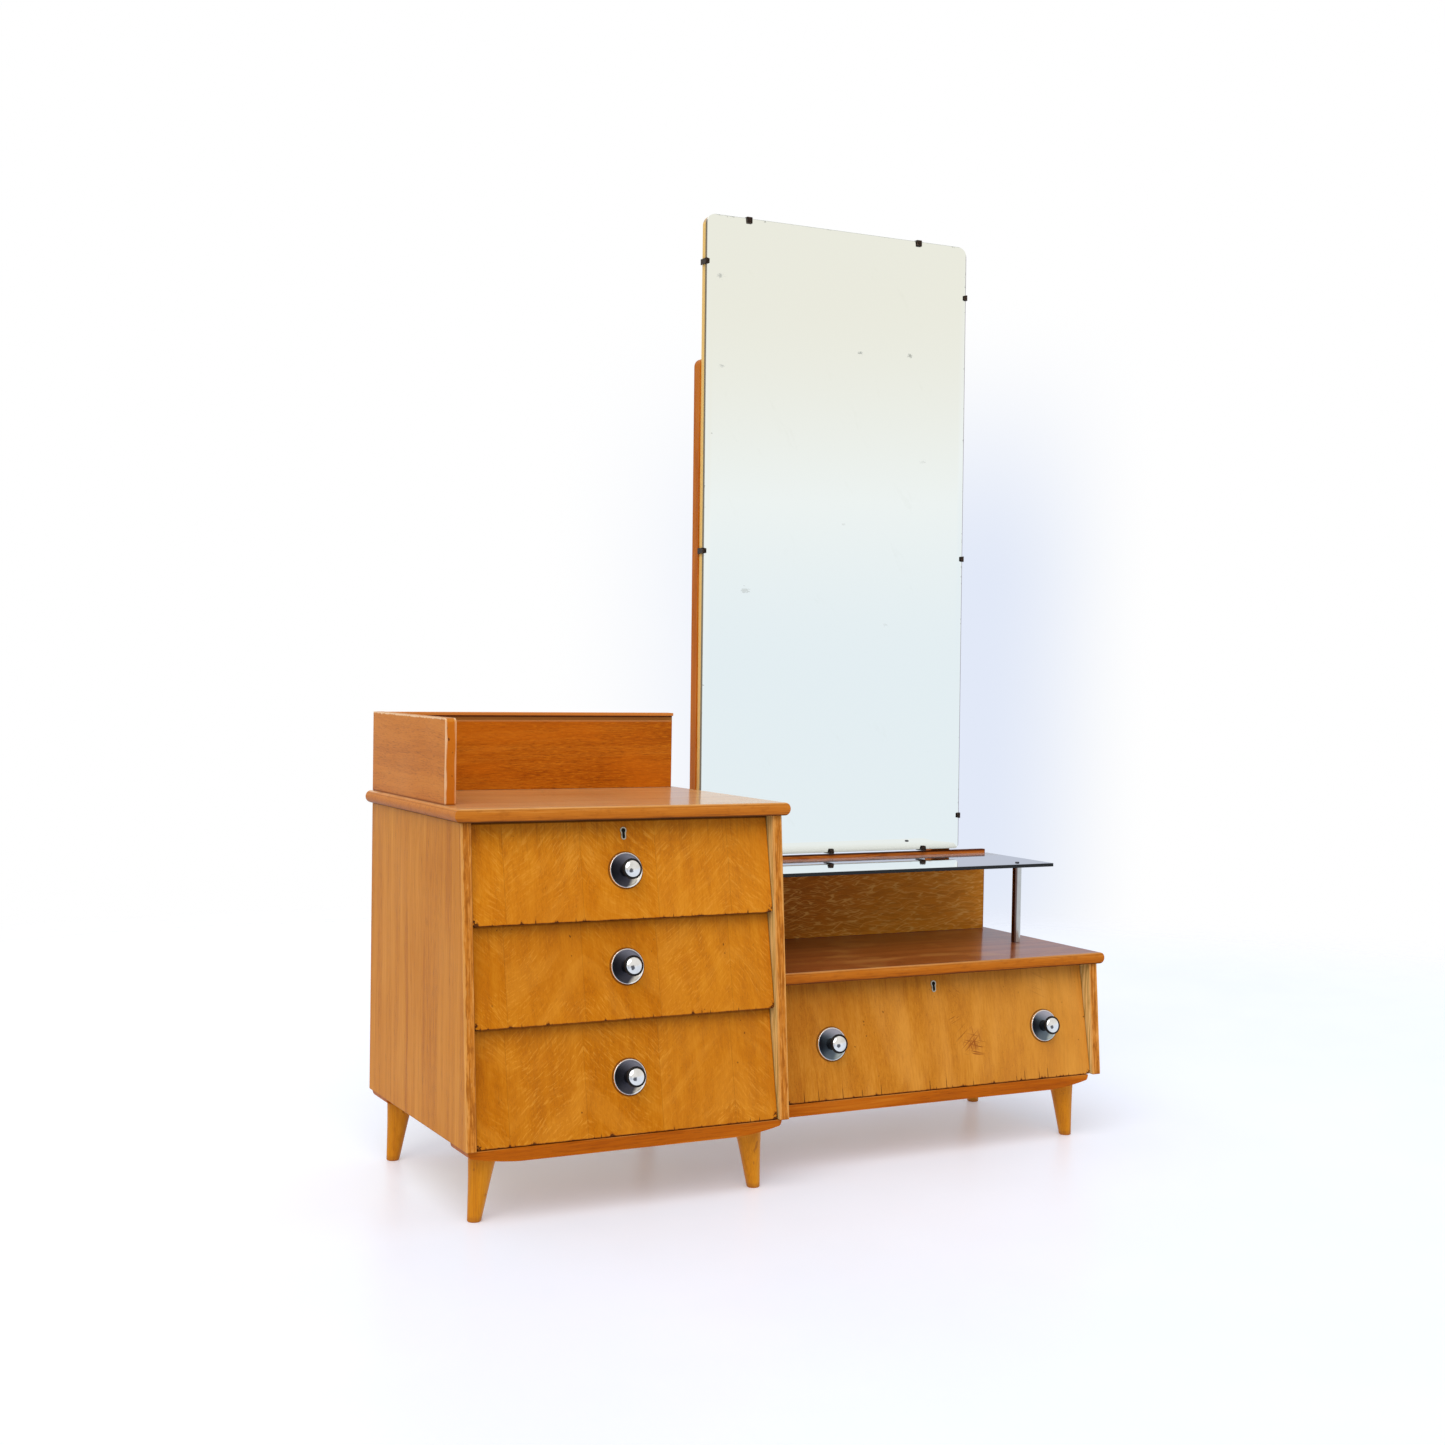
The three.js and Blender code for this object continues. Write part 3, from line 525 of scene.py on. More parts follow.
def amber_board(node, grain):
    """A gallery board: close short-figured oak. The side has bright lines at its corners, painted
    highlights on worn arrises, and painted shade along its foot; the rear board has painted shade
    under its top lip.
    """
    low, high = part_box(node)
    outside = node == "gallery_side"
    body, contrast, amount = (GALLERY_SIDE, 0.6, 0.25) if outside else (AMBER, 0.9, 0.55)
    g = Wood(node, grain, body, contrast)
    x, y, z = g.xyz
    short = g.noise(along(grain, 80, 640), 3, rough=0.65, vector=g.bent)
    g.tint(g.fade(short, 0.52, 0.66) * amount, srgb(206, 122, 20))
    g.tint(g.fade(short, 0.46, 0.34) * amount, srgb(122, 56, 4))
    if outside:
        front = y - low.y
        face = g.within(front, 1.2, 0.5)
        g.tint(face * 0.85, srgb(190, 100, 16))
        knots = g.noise((120, 120, 70), 1)
        g.tint(face * g.fade(knots, 0.68, 0.74) * 0.8, DIRT_AND_SHADE)
        ragged = g.noise((160, 160, 30), 3)
        reach = g.spread(ragged, -0.3, 2.0) * (2.4 * MM)
        side, down = g.least(x - low.x, high.x - x), high.z - z
        top_edge = g.within(g.most(side, down) - reach, 1.0, -0.6)
        front_edge = g.within(g.most(side, front) - reach, 1.2, -1.0)
        outer = g.within(x - low.x, 9, 7)
        # Pale lines on the top and front arrises: painted highlights on worn edges.
        g.tint(top_edge * 0.8, SHINE)
        g.tint(front_edge * g.spread(outer, 0.3, 0.62), SHINE)
        # Darker along the foot: painted contact shade.
        g.tint(g.within(z - low.z, 3.0, 0.8) * 0.7, STAIN_AND_SHADE)
    elif node == "gallery_rear_board":
        down = high.z - z
        ahead = g.within(y - low.y, 12, 8)
        g.tint(g.within(down, 5.6, 5.2) * 0.9, srgb(206, 128, 56))
        # Below the top strip: the face in painted shade, and a dark painted shadow line under the
        # lip.
        g.tint(g.within(down, 5.2, 5.6) * ahead * 0.8, srgb(158, 108, 48))
        line = g.within(g.math("ABSOLUTE", down - 6.2 * MM), 1.2, 0.6)
        g.tint(line * 0.85, srgb(72, 36, 16))
    else:
        glow = g.noise((6, 6, 22), 2)
        g.tint(g.fade(glow, 0.45, 0.66) * 0.4, srgb(206, 108, 10))
        g.tint(g.within(high.z - z, 3.0, 2.0) * 0.6, srgb(186, 128, 76))
    return g.done()


# Two layers of wavy ridges: lumps a metre along and across, lean in degrees, swing in metres.
RIDGES = ((15, 130, 12, 0.018), (21, 180, -8, 0.012))


def quartered_board(node):
    """Quarter-sawn oak: pale wavy ray flecks, with an orange strip along the top, painted light
    that grows towards the right end, and painted shade along the top edge.
    """
    low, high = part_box(node)
    g = Wood(node, "x", QUARTERED, contrast=1.1, pores=0.5)
    x, y, z = g.xyz
    # Lighter towards the right end: painted light.
    glow = g.fade(x + g.cloud * 0.3, low.x + 0.2, high.x)
    g.tint(glow * 0.95, srgb(224, 138, 30))
    front = g.within(y - low.y, 6, 3)
    for number, (length, across, lean, swing) in enumerate(RIDGES):
        wave = g.noise(26, 1, offset=(number * 3.7, 1.1, 0.3))
        bent = g.combine(x, y, z + wave * swing)
        turn = (0, math.radians(lean), 0)
        level = g.noise((length, 40, across), 1, rough=0.4, turn=turn, vector=bent)
        ridge = g.fade(g.math("ABSOLUTE", level - 0.5), 0.036, 0.01)
        broken = g.fade(g.noise((38, 40, 200), 2, turn=turn), 0.38, 0.52)
        g.tint(ridge * broken * front * (0.8 - 0.15 * number), srgb(246, 184, 94))
        g.tint(g.fade(level, 0.44, 0.34) * 0.14, srgb(132, 62, 8))
    fleck = g.noise((170, 60, 520), 2)
    g.tint(g.fade(fleck, 0.56, 0.66) * front * 0.28, srgb(228, 156, 62))
    down = high.z - z
    strip = g.mix(g.fade(g.fibre, 0.4, 0.6), srgb(160, 76, 18), srgb(206, 116, 44))
    g.tint(g.within(down, 7.6, 7.2), strip)
    # A dark band along the top: painted shadow under the mirror's lower edge.
    g.tint(g.within(down, 2.6, 1.8) * 0.9, srgb(66, 26, 8))
    g.tint(g.within(high.x - x, 2.0, 1.0) * 0.7, STAIN_AND_SHADE)
    return g.done()


def orange_piece(node, grain):
    low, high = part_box(node)
    g = Wood(node, grain, RAIL if "rail" in node else ORANGE, contrast=1.1, pores=0.4)
    g.wear(low, high, width=0.9, amount=0.15 if "post" in node else 0.35)
    return g.done()


def leg_wood(node):
    _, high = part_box(node)
    g = Wood(node, "z", HONEY, contrast=0.8, pores=0.3)
    _, _, z = g.xyz
    rough = g.noise((40, 40, 60), 3)
    # Darker towards the floor: painted shade at the foot.
    foot = g.fade(z + rough * 0.01, 0.016, 0.006)
    g.tint(foot * 0.55, srgb(150, 84, 26))
    g.tint(g.fade(high.z - z, 0.012, 0.0) * 0.35, srgb(168, 90, 24))
    dents = g.noise((90, 90, 60), 1)
    g.tint(g.fade(dents, 0.7, 0.76) * 0.5, srgb(140, 76, 24))
    return g.done(coat=0.12)


def raw_wood(node, grain):
    g = Wood(node, grain, RAW, contrast=1.0, pores=0.4)
    stain = g.noise(3, 4)
    g.tint(g.fade(stain, 0.5, 0.7) * 0.25, srgb(150, 112, 70))
    g.roughness = g.spread(g.fibre, 0.62, 0.85)
    return g.done(coat=0.0, specular=0.3, bump=0.2)


def plywood():
    g = Wood("mirror_board", "z", RAW, contrast=1.0, pores=0.3)
    x, y, z = g.xyz
    low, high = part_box("mirror_board")
    # The plies are planes of the leaning board, 2.1 mm apart.
    level = y - (z - MIRROR_PIVOT.z) * math.tan(MIRROR_LEAN)
    ply = g.math("PINGPONG", level * (1 / (2.1 * MM)), 1.0)
    dx = g.least(x - low.x, high.x - x)
    dz = g.least(z - low.z, high.z - z)
    edge = g.within(g.least(dx, dz), 1.2, 0.4)
    g.tint(edge * 0.88, srgb(242, 198, 108))
    g.tint(edge * g.fade(ply, 0.62, 0.9) * 0.5, srgb(184, 124, 48))
    g.roughness = g.spread(g.fibre, 0.5, 0.7)
    return g.done(coat=0.05, specular=0.3, bump=0.15)


# ------------------------------------------------------------------ glass, metal and plastic

FACE_OUT = Vector((0, -math.cos(DRAWER_TILT), math.sin(DRAWER_TILT)))
FACE_UP = Vector((0, math.sin(DRAWER_TILT), math.cos(DRAWER_TILT)))
DISH_RADIUS = 25.8 * MM
# Painted reflections in a rose's dish, in the middle, at its left, at its top and at its lower
# right:
# on the chest's drawers and on the wide one.
DISH_REFLECTIONS = (
    (srgb(66, 66, 84), srgb(36, 38, 54), srgb(140, 136, 148), srgb(250, 246, 240)),
    (srgb(96, 112, 128), srgb(44, 56, 76), srgb(186, 178, 186), srgb(180, 192, 196)),
)

# Age spots in the silvering: fractions across and up the pane, radius in mm, and darkness.
AGE_SPOTS = (
    (0.050, 0.905, 12.0, 0.45),
    (0.580, 0.808, 8.0, 0.60),
    (0.775, 0.812, 8.5, 1.0),
    (0.060, 0.765, 8.0, 0.35),
    (0.025, 0.660, 3.4, 0.90),
    (0.150, 0.418, 15.0, 0.26),
    (0.830, 0.640, 9.0, 0.12),
    (0.520, 0.530, 7.0, 0.14),
    (0.690, 0.370, 7.0, 0.12),
)


def mirror_material():
    g = Graph("mirror_silver")
    low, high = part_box("mirror_glass")
    x, _, z = g.xyz
    silver = srgb(240, 244, 242)
    blotch = g.noise((95, 95, 240), 4, rough=0.75)
    decay = 0.0
    for across, up, radius, depth in AGE_SPOTS:
        dx = x - (low.x + across * (high.x - low.x))
        dz = (z - (low.z + up * (high.z - low.z))) * 1.7
        away = g.math("SQRT", dx * dx + dz * dz)
        ragged = away + (blotch - 0.5) * (radius * 3.2 * MM)
        spot = g.within(ragged, radius * 0.75, radius * 0.1) * depth
        decay = g.most(spot, decay)
    edge = g.least(x - low.x, high.x - x)
    edge = g.least(edge, high.z - z, z - low.z)
    creep = g.noise(120, 3, rough=0.7)
    rot = g.within(edge - g.fade(creep, 0.58, 0.8) * (6 * MM), 0.8, 0.2)
    decay = g.most(decay, rot * 0.5)
    haze = g.noise((28, 28, 9), 5, rough=0.7, turn=(0, 0.6, 0))
    colour = g.mix(g.fade(haze, 0.62, 0.72) * 0.05, silver, srgb(196, 200, 186))
    colour = g.mix(decay, colour, srgb(98, 98, 70))
    rim = g.within(edge, 0.35, 0.1)
    colour = g.mix(rim * 0.85, colour, srgb(86, 112, 98))
    right_rim = g.within(high.x - x, 1.5, 0.9)
    colour = g.mix(right_rim * 0.8, colour, srgb(128, 112, 124))
    left_rim = g.within(x - low.x, 2.1, 1.4)
    colour = g.mix(left_rim * 0.85, colour, srgb(104, 82, 50))
    rim = g.most(rim, right_rim, left_rim)
    roughness = decay * 0.35 + (rim * 0.15 + 0.012)
    metallic = 1.0 - g.most(decay * 0.8, rim * 0.6)
    return g.finish(base_color=colour, metallic=metallic, roughness=roughness, specular=0.5)


def black_glass():
    """Black glass whose top face mirrors the wall at a low angle."""
    g = Graph("black_glass")
    _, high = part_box("shelf_glass")
    top = g.within(high.z - g.xyz[2], 0.15, 0.03)
    smear = g.noise((9, 22, 9), 5, rough=0.65, warp=0.5)
    dust = g.noise(900, 1)
    facing = g.add("LayerWeight", {"Blend": 0.5}, "Facing")
    glancing = g.fade(facing, 0.66, 0.86) * top
    dusty = g.within(high.y - g.xyz[1], 75, 25)
    colour = g.mix(g.fade(dust, 0.7, 0.78) * 0.06, srgb(7, 8, 12), srgb(160, 160, 160))
    colour = g.mix(glancing, colour, g.mix(dusty, srgb(246, 248, 250), srgb(206, 204, 202)))
    glancing = glancing * g.spread(dusty, 1.0, 0.62)
    roughness = g.fade(smear, 0.45, 0.8) * 0.06 + g.spread(dusty, 0.015, 0.1)
    looks = {"base_color": colour, "metallic": glancing, "roughness": roughness, "specular": 0.3}
    return g.finish(**looks, normal=g.bump(smear, 0.02 * MM, 0.2))


def chrome(name, base, rough, pitting, seed=(0, 0, 0)):
    """Old chrome plate: fine scratches, a clouded patch here and there, pits of rust."""
    g = Graph(name)
    g.offset = seed
    fine = g.noise((260, 260, 2600), 3, rough=0.7)
    cloud = g.noise(85, 3)
    pits = g.noise((1500, 1500, 900), 2, rough=0.7)
    spots = g.fade(pits, 0.66, 0.74) * g.fade(cloud, 0.45, 0.65)
    colour = g.mix(g.fade(cloud, 0.4, 0.8) * 0.25, base, srgb(150, 148, 146))
    colour = g.mix(spots * pitting, colour, srgb(84, 62, 46))
    g.roughness = fine * rough + spots * 0.35
    g.normal = g.bump(fine, 0.015 * MM, 0.25)
    g.colour = colour
    return g


def plated(g):
    return g.finish(base_color=g.colour, metallic=1.0, roughness=g.roughness, normal=g.normal)


def rose_chrome(node):
    """A bright rim round a rougher dish coloured with painted reflections: slate, darkest at its
    left, grey at its top, with a bright painted reflection at its lower right."""
    low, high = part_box(node)
    wide = "wide" in node
    g = chrome(f"chrome_{node}", srgb(246, 246, 248), 0.14, 0.25, seed_of(node))
    centre = (low + high) / 2
    radius = g.distance(centre)
    dish_wobble = g.noise(70, 3)
    right = g.math("DIVIDE", g.xyz[0] - centre.x, DISH_RADIUS) + (dish_wobble - 0.5) * 0.5
    up = g.math("DIVIDE", g.xyz[2] - centre.z, DISH_RADIUS)
    # The dish's colour is painted reflection: dark at the left, grey at the top, bright at the
    # lower right.
    dish_reflection = g.mix(g.fade(right, -0.35, -0.95), DISH_REFLECTIONS[wide][0], DISH_REFLECTIONS[wide][1])
    dish_reflection = g.mix(g.fade(up + right * 0.35, 0.15, 1.0), dish_reflection, DISH_REFLECTIONS[wide][2])
    shine = g.fade(right * 0.8 - up * 0.6, 0.5, 0.78)
    dish_reflection = g.mix(shine, dish_reflection, DISH_REFLECTIONS[wide][3])
    dish = g.fade(radius, DISH_RADIUS + 0.3 * MM, DISH_RADIUS - 0.5 * MM)
    g.colour = g.mix(dish * g.spread(dish_wobble, 0.9, 1.0), g.colour, dish_reflection)
    g.roughness = g.roughness + dish * 0.34
    return plated(g)


def foremost(node):
    """The point of a node that stands out furthest from its drawer's face."""
    return max((v.co for v in NODES[node].data.vertices), key=lambda co: co.dot(FACE_OUT)).copy()


def cap_chrome(node):
    """A knob's cap: bright, with one painted dark reflection left of its middle and below it."""
    g = chrome(f"chrome_{node}_cap", srgb(230, 231, 236), 0.16, 0.15, seed_of(node))
    spot = foremost(node) - FACE_UP * 2.9 * MM - Vector((4.2 * MM, 0, 0))
    away = g.distance(spot)
    ragged = g.noise(420, 2)
    # A dark spot: painted reflection.
    dark_reflection_spot = g.within(away + (ragged - 0.5) * (4 * MM), 4.0, 2.2)
    g.colour = g.mix(dark_reflection_spot * 0.9, g.colour, srgb(56, 56, 66))
    return plated(g)


def rod_chrome():
    """The shelf's rods, with dark caps over the glass and a red-brown painted reflection of the
    wood down their left side.
    """
    g = chrome("rod_chrome", srgb(190, 188, 186), 0.30, 0.8, (1, 5, 3))
    above = g.fade(g.xyz[2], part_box("shelf_glass")[1].z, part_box("shelf_glass")[1].z + 0.2 * MM)
    for side in ("left", "right"):
        low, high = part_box(f"shelf_rod_{side}")
        beside = g.xyz[0] - (low.x + high.x) / 2
        # A red-brown band at the left: painted reflection of the wood beside it.
        left = g.within(beside, -3.6, -4.8) * g.within(beside, -12, -10)
        g.colour = g.mix(left * 0.85, g.colour, srgb(84, 46, 34))
    g.colour = g.mix(above, g.colour, srgb(58, 58, 66))
    return plated(g)


def black_plastic():
    g = Graph("black_knob_plastic")
    wear = g.noise(300, 4, rough=0.7)
    grime = g.noise(60, 3)
    colour = g.mix(g.fade(wear, 0.55, 0.75) * 0.3, srgb(8, 8, 10), srgb(40, 38, 38))
    roughness = wear * 0.18 + g.spread(grime, 0.22, 0.36)
    normal = g.bump(wear, 0.02 * MM)
    return g.finish(base_color=colour, roughness=roughness, specular=0.22, normal=normal)


def tarnished(name, scale, metallic, gloss, height, *stops):
    """A metal whose colour and gloss both follow its patina."""
    g = Graph(name)
    patina = g.noise(scale, 4, rough=0.7)
    colour, normal = g.ramp(patina, *stops), g.bump(patina, height)
    roughness = g.spread(patina, *gloss)
    return g.finish(base_color=colour, metallic=metallic, roughness=roughness, normal=normal)


def bronze():
    stops = (0.34, srgb(18, 13, 11)), (0.54, srgb(46, 32, 24)), (0.70, srgb(116, 92, 74))
    return tarnished("clip_bronze", 420, 0.75, (0.28, 0.6), 0.05 * MM, *stops)


def steel():
    stops = (0.35, srgb(92, 78, 62)), (0.6, srgb(168, 160, 148))
    return tarnished("screw_steel", 500, 1.0, (0.3, 0.55), 0.03 * MM, *stops)


# A near-black plug set in each keyhole: painted shade standing for the hole's depth.
def keyhole_shade_material():
    g = Graph("keyhole_painted_shade")
    grime = g.noise(900, 3)
    colour = g.mix(grime, srgb(4, 4, 4), srgb(22, 18, 14))
    return g.finish(base_color=colour, roughness=g.spread(grime, 0.6, 0.9), specular=0.2)


# ------------------------------------------------------------------ finish the frame's nodes

def arris(o, width, segments):
    """Small rounded edges, of a width in millimetres."""
    bevel = o.modifiers.new("arris", "BEVEL")
    bevel.width = width * MM
    bevel.segments = segments
    bevel.limit_method = "ANGLE"
    bevel.angle_limit = math.radians(32)
    bevel.harden_normals = True


def dress(node, material, width, segments=2):
    """Give a node its material, small rounded edges and smooth shading between them."""
    o = NODES[node]
    mesh = o.data
    mesh.materials.clear()
    mesh.materials.append(material)
    for attribute in ("custom_normal", "sharp_edge", "sharp_face"):
        if attribute in mesh.attributes:
            mesh.attributes.remove(mesh.attributes[attribute])
    mesh.shade_smooth()
    weld = o.modifiers.new("weld", "WELD")
    weld.merge_threshold = 0.01 * MM
    arris(o, width, segments)


BRONZE = bronze()
BLACK = black_plastic()
STEEL = steel()
KEYHOLE_SHADE = keyhole_shade_material()
ROD_CHROME = rod_chrome()
PLATE_METAL = plated(chrome("escutcheon_plate", srgb(170, 164, 152), 0.55, 0.6, (9, 1, 2)))
for node in NODES:
    kind = node.split("_")[0]
    if "_side_" in node:
        dress(node, side_panel(node), 1.1, 3)
    elif kind == "gallery":
        dress(node, amber_board(node, "y" if node == "gallery_side" else "x"), 0.9, 3)
    elif "_rail_" in node:
        dress(node, orange_piece(node, "x"), 1.2, 3)
    elif "_post_" in node:
        dress(node, orange_piece(node, "z"), 2.0, 3)
    elif kind == "leg":
        dress(node, leg_wood(node), 0.7)
    elif kind == "drawer" and node.endswith("_front"):
        dress(node, drawer_front(node.split("_")[1]), 0.8, 3)
    elif kind == "rose":
        dress(node, rose_chrome(node), 0.25)
    elif "_rod_" in node:
        dress(node, ROD_CHROME, 0.4)
    elif kind == "escutcheon":
        dress(node, PLATE_METAL, 0.2)
    elif "_clip_" in node:
        dress(node, BRONZE, 0.35)
    elif kind in ("drawer", "chest", "console") and not node.endswith("_top"):
        dress(node, raw_wood(node, "z" if node in ("chest_back", "console_spacer") else "x"), 0.5)
dress("chest_top", top_board("chest_top", TOP, 0.75, 0.0), 1.4, 3)
dress("console_top", top_board("console_top", CONSOLE_TOP, 0.60, 0.08), 1.4, 3)
dress("upstand_board", quartered_board("upstand_board"), 0.5)
dress("mirror_board", plywood(), 0.6)
dress("mirror_glass", mirror_material(), 0.25)
NODES["mirror_glass"].modifiers["arris"].angle_limit = math.radians(40)
dress("shelf_glass", black_glass(), 0.25)


# ------------------------------------------------------------------ pieces the frame leaves out

def add_object(name, data):
    o = bpy.data.objects.new(name, data)
    bpy.context.scene.collection.objects.link(o)
    return o


def add_mesh(name, bm, material):
    mesh = bpy.data.meshes.new(name)
    bm.to_mesh(mesh)
    bm.free()
    mesh.materials.append(material)
    return add_object(name, mesh)


def piece(name, bm, material, body, bevel=0.0, smooth=True):
    """A new mesh object that rides on a body."""
    bmesh.ops.remove_doubles(bm, verts=bm.verts, dist=0.001 * MM)
    bmesh.ops.recalc_face_normals(bm, faces=bm.faces)
    o = add_mesh(name, bm, material)
    if smooth:
        o.data.shade_smooth()
    if bevel:
        arris(o, bevel, 3)
    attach(o, body)
    return o


def lathe(profile, transform, segments=48):
    """A turned surface: (radius, height) points in millimetres round the local Z axis."""
    bm = bmesh.new()
    rings = []
    for radius, height in profile:
        if radius == 0:
            rings.append([bm.verts.new(transform @ Vector((0, 0, height * MM)))])
            continue
        ring = []
        for step in range(segments):
            angle = math.tau * step / segments
            spot = Vector((radius * math.cos(angle), radius * math.sin(angle), height)) * MM
            ring.append(bm.verts.new(transform @ spot))
        rings.append(ring)
    for first, second in zip(rings, rings[1:]):
        for step in range(segments):
            after = (step + 1) % segments
            corners = [first[step % len(first)], first[after % len(first)]]
            corners += [second[after % len(second)], second[step % len(second)]]
            corners = list(dict.fromkeys(corners))
            bm.faces.new(corners)
    return bm


def prism(outline, thickness, transform):
    """An outline of (x, y) points in millimetres, pushed along the local Z axis."""
    bm = bmesh.new()
    lower = [bm.verts.new(transform @ (Vector((x, y, 0)) * MM)) for x, y in outline]
    upper = [bm.verts.new(transform @ (Vector((x, y, thickness)) * MM)) for x, y in outline]
    bm.faces.new(lower)
    bm.faces.new(upper)
    for index in range(len(outline)):
        after = (index + 1) % len(outline)
        bm.faces.new((lower[index], lower[after], upper[after], upper[index]))
    return bm


def on_face(origin):
    """Local X along the drawer, Y up its face and Z straight out of it."""
    turn = Matrix((Vector((1, 0, 0)), FACE_UP, FACE_OUT)).transposed().to_4x4()
    return Matrix.Translation(origin) @ turn


# A knob from its foot to its tip: a waisted stem that flares to a ring, with a groove inside
# the ring for the chrome cap. Radius and height in millimetres.
STEM_PROFILE = (
    (0.0, 1.5),
    (9.5, 1.5),
    (8.9, 3.5),
    (8.6, 6.5),
    (8.8, 10.0),
    (9.7, 14.0),
    (11.2, 18.0),
    (13.4, 21.4),
    (15.0, 23.0),
    (15.5, 24.2),
    (15.5, 25.8),
    (15.1, 26.6),
    (14.3, 27.0),
    (13.4, 27.0),
    (12.9, 26.7),
    (12.8, 25.5),
    (0.0, 25.4),
)
CAP_PROFILE = (
    (12.7, 25.5),
    (12.7, 26.6),
    (12.2, 27.3),
    (11.0, 28.0),
    (9.0, 28.9),
    (6.8, 29.6),
    (4.4, 30.05),
    (2.2, 30.25),
    (0.0, 30.3),
)
KNOB_LENGTH = 30.4
for node in [name for name in NODES if name.startswith("knob_")]:
    label = node.removeprefix("knob_")
    body = "drawer_" + label.split("_")[0]
    place = on_face(foremost(node) - FACE_OUT * KNOB_LENGTH * MM)
    stem = piece(f"knob_stem_{label}", lathe(STEM_PROFILE, place), BLACK, body)
    piece(f"knob_cap_{label}", lathe(CAP_PROFILE, place), cap_chrome(node), body)
    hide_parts(node)


def keyhole_outline(head, slot, length, steps=14):
    """A round head over a narrower slot with a round end, in millimetres."""
    shoulder = math.acos(slot / head)
    points = []
    for step in range(steps + 1):
        angle = -shoulder + (math.pi + 2 * shoulder) * step / steps
        points.append((head * math.cos(angle), head * math.sin(angle)))
    for step in range(steps + 1):
        angle = math.pi + math.pi * step / steps
        points.append((slot * math.cos(angle), slot - length + slot * math.sin(angle)))
    return points


for label in ("upper", "wide"):
    low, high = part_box(f"escutcheon_{label}")
    middle = (low + high) / 2
    middle += FACE_OUT * (foremost(f"escutcheon_{label}") - middle).dot(FACE_OUT)
    spot = middle + FACE_UP * 4.3 * MM - FACE_OUT * 3.4 * MM
    # Each keyhole gets a black plug: painted shade in the opening.
    plug = prism(keyhole_outline(3.6, 2.3, 12.4), 1.2, on_face(spot))
    piece(f"keyhole_dark_{label}", plug, KEYHOLE_SHADE, f"drawer_{label}", smooth=False)


def leaned(x, y, z):
    """A point drawn on the upright mirror, in metres, moved to where the leaning mirror is."""
    turn = Matrix.Rotation(-MIRROR_LEAN, 3, "X")
    return MIRROR_PIVOT + turn @ (Vector((x, y, z)) - MIRROR_PIVOT)


UPRIGHT = [
    MIRROR_PIVOT + Matrix.Rotation(MIRROR_LEAN, 3, "X") @ (v.co - MIRROR_PIVOT)
    for v in NODES["mirror_glass"].data.vertices
]
PANE_LOW = Vector([min(v[axis] for v in UPRIGHT) for axis in range(3)])
PANE_HIGH = Vector([max(v[axis] for v in UPRIGHT) for axis in range(3)])

# A clip's section as (outwards from the rim, forwards from the pane's front), in millimetres:
# a tongue over the glass, and a strap back over the pane and its board.
CLIP_SECTION = (
    (-9.5, 0.3),
    (-9.9, 1.2),
    (-9.2, 2.0),
    (-2.0, 2.3),
    (0.8, 2.1),
    (2.2, 0.9),
    (2.3, -18.5),
    (0.4, -18.5),
    (0.4, 0.3),
)
CLIP_WIDTH = 10.0
# Each clip: the side it holds, and its place along that side as a fraction from the left or
# from the bottom.
CLIPS = (
    ("bottom", 0.126),
    ("bottom", 0.490),
    ("bottom", 0.855),
    ("right", 0.917),
    ("right", 0.483),
    ("right", 0.055),
    ("left", 0.926),
    ("left", 0.477),
    ("left", 0.055),
)


def clip(index, side, fraction):
    width, height = PANE_HIGH.x - PANE_LOW.x, PANE_HIGH.z - PANE_LOW.z
    outward = {"bottom": (0, -1), "left": (-1, 0), "right": (1, 0)}[side]
    if side == "bottom":
        start = (PANE_LOW.x + fraction * width, PANE_LOW.z)
    else:
        edge = PANE_LOW.x if side == "left" else PANE_HIGH.x
        start = (edge, PANE_LOW.z + fraction * height)
    bm = bmesh.new()
    rows = []
    for across in (-0.5, 0.5):
        row = []
        for out, forward in CLIP_SECTION:
            step = across * CLIP_WIDTH * (0.8 if out < -9 else 1.0)
            out = max(out, -6.4 if side == "bottom" else out * 0.55)
            x = start[0] + (outward[0] * out + abs(outward[1]) * step) * MM
            z = start[1] + (outward[1] * out + abs(outward[0]) * step) * MM
            row.append(bm.verts.new(leaned(x, PANE_LOW.y - forward * MM, z)))
        rows.append(row)
        bm.faces.new(row)
    for index_a in range(len(CLIP_SECTION)):
        index_b = (index_a + 1) % len(CLIP_SECTION)
        bm.faces.new((rows[0][index_a], rows[0][index_b], rows[1][index_b], rows[1][index_a]))
    piece(f"mirror_clip_{side}_{index}", bm, BRONZE, "carcass", bevel=0.35)


for index, (side, fraction) in enumerate(CLIPS):
    clip(index, side, fraction)


def screw(name, origin, axis, radius=3.6):
    """A countersunk wood screw's head with its slot, facing along axis."""
    turn = axis.to_track_quat("Z", "Y").to_matrix().to_4x4()
    place = Matrix.Translation(origin) @ turn
    bm = bmesh.new()
    segments = 24
    slot_half = 0.45
    top, sunk = 0.35, -0.5
    for sign in (-1, 1):
        # Each half of the head is a thick segment of a disc beside the slot.
        cut_angle = math.asin(slot_half / radius)
        points = []
        for step in range(segments // 2 + 1):
            angle = cut_angle + (math.pi - 2 * cut_angle) * step / (segments // 2)
            points.append((radius * math.cos(angle), sign * radius * math.sin(angle)))
        lower = [bm.verts.new(place @ (Vector((x, y, sunk)) * MM)) for x, y in points]
        upper = [bm.verts.new(place @ (Vector((x * 0.94, y * 0.94, top)) * MM)) for x, y in points]
        bm.faces.new(upper)
        bm.faces.new(lower)
        for index_a in range(len(points)):
            index_b = (index_a + 1) % len(points)
            bm.faces.new((lower[index_a], lower[index_b], upper[index_b], upper[index_a]))
    piece(name, bm, STEEL, "carcass", smooth=False)


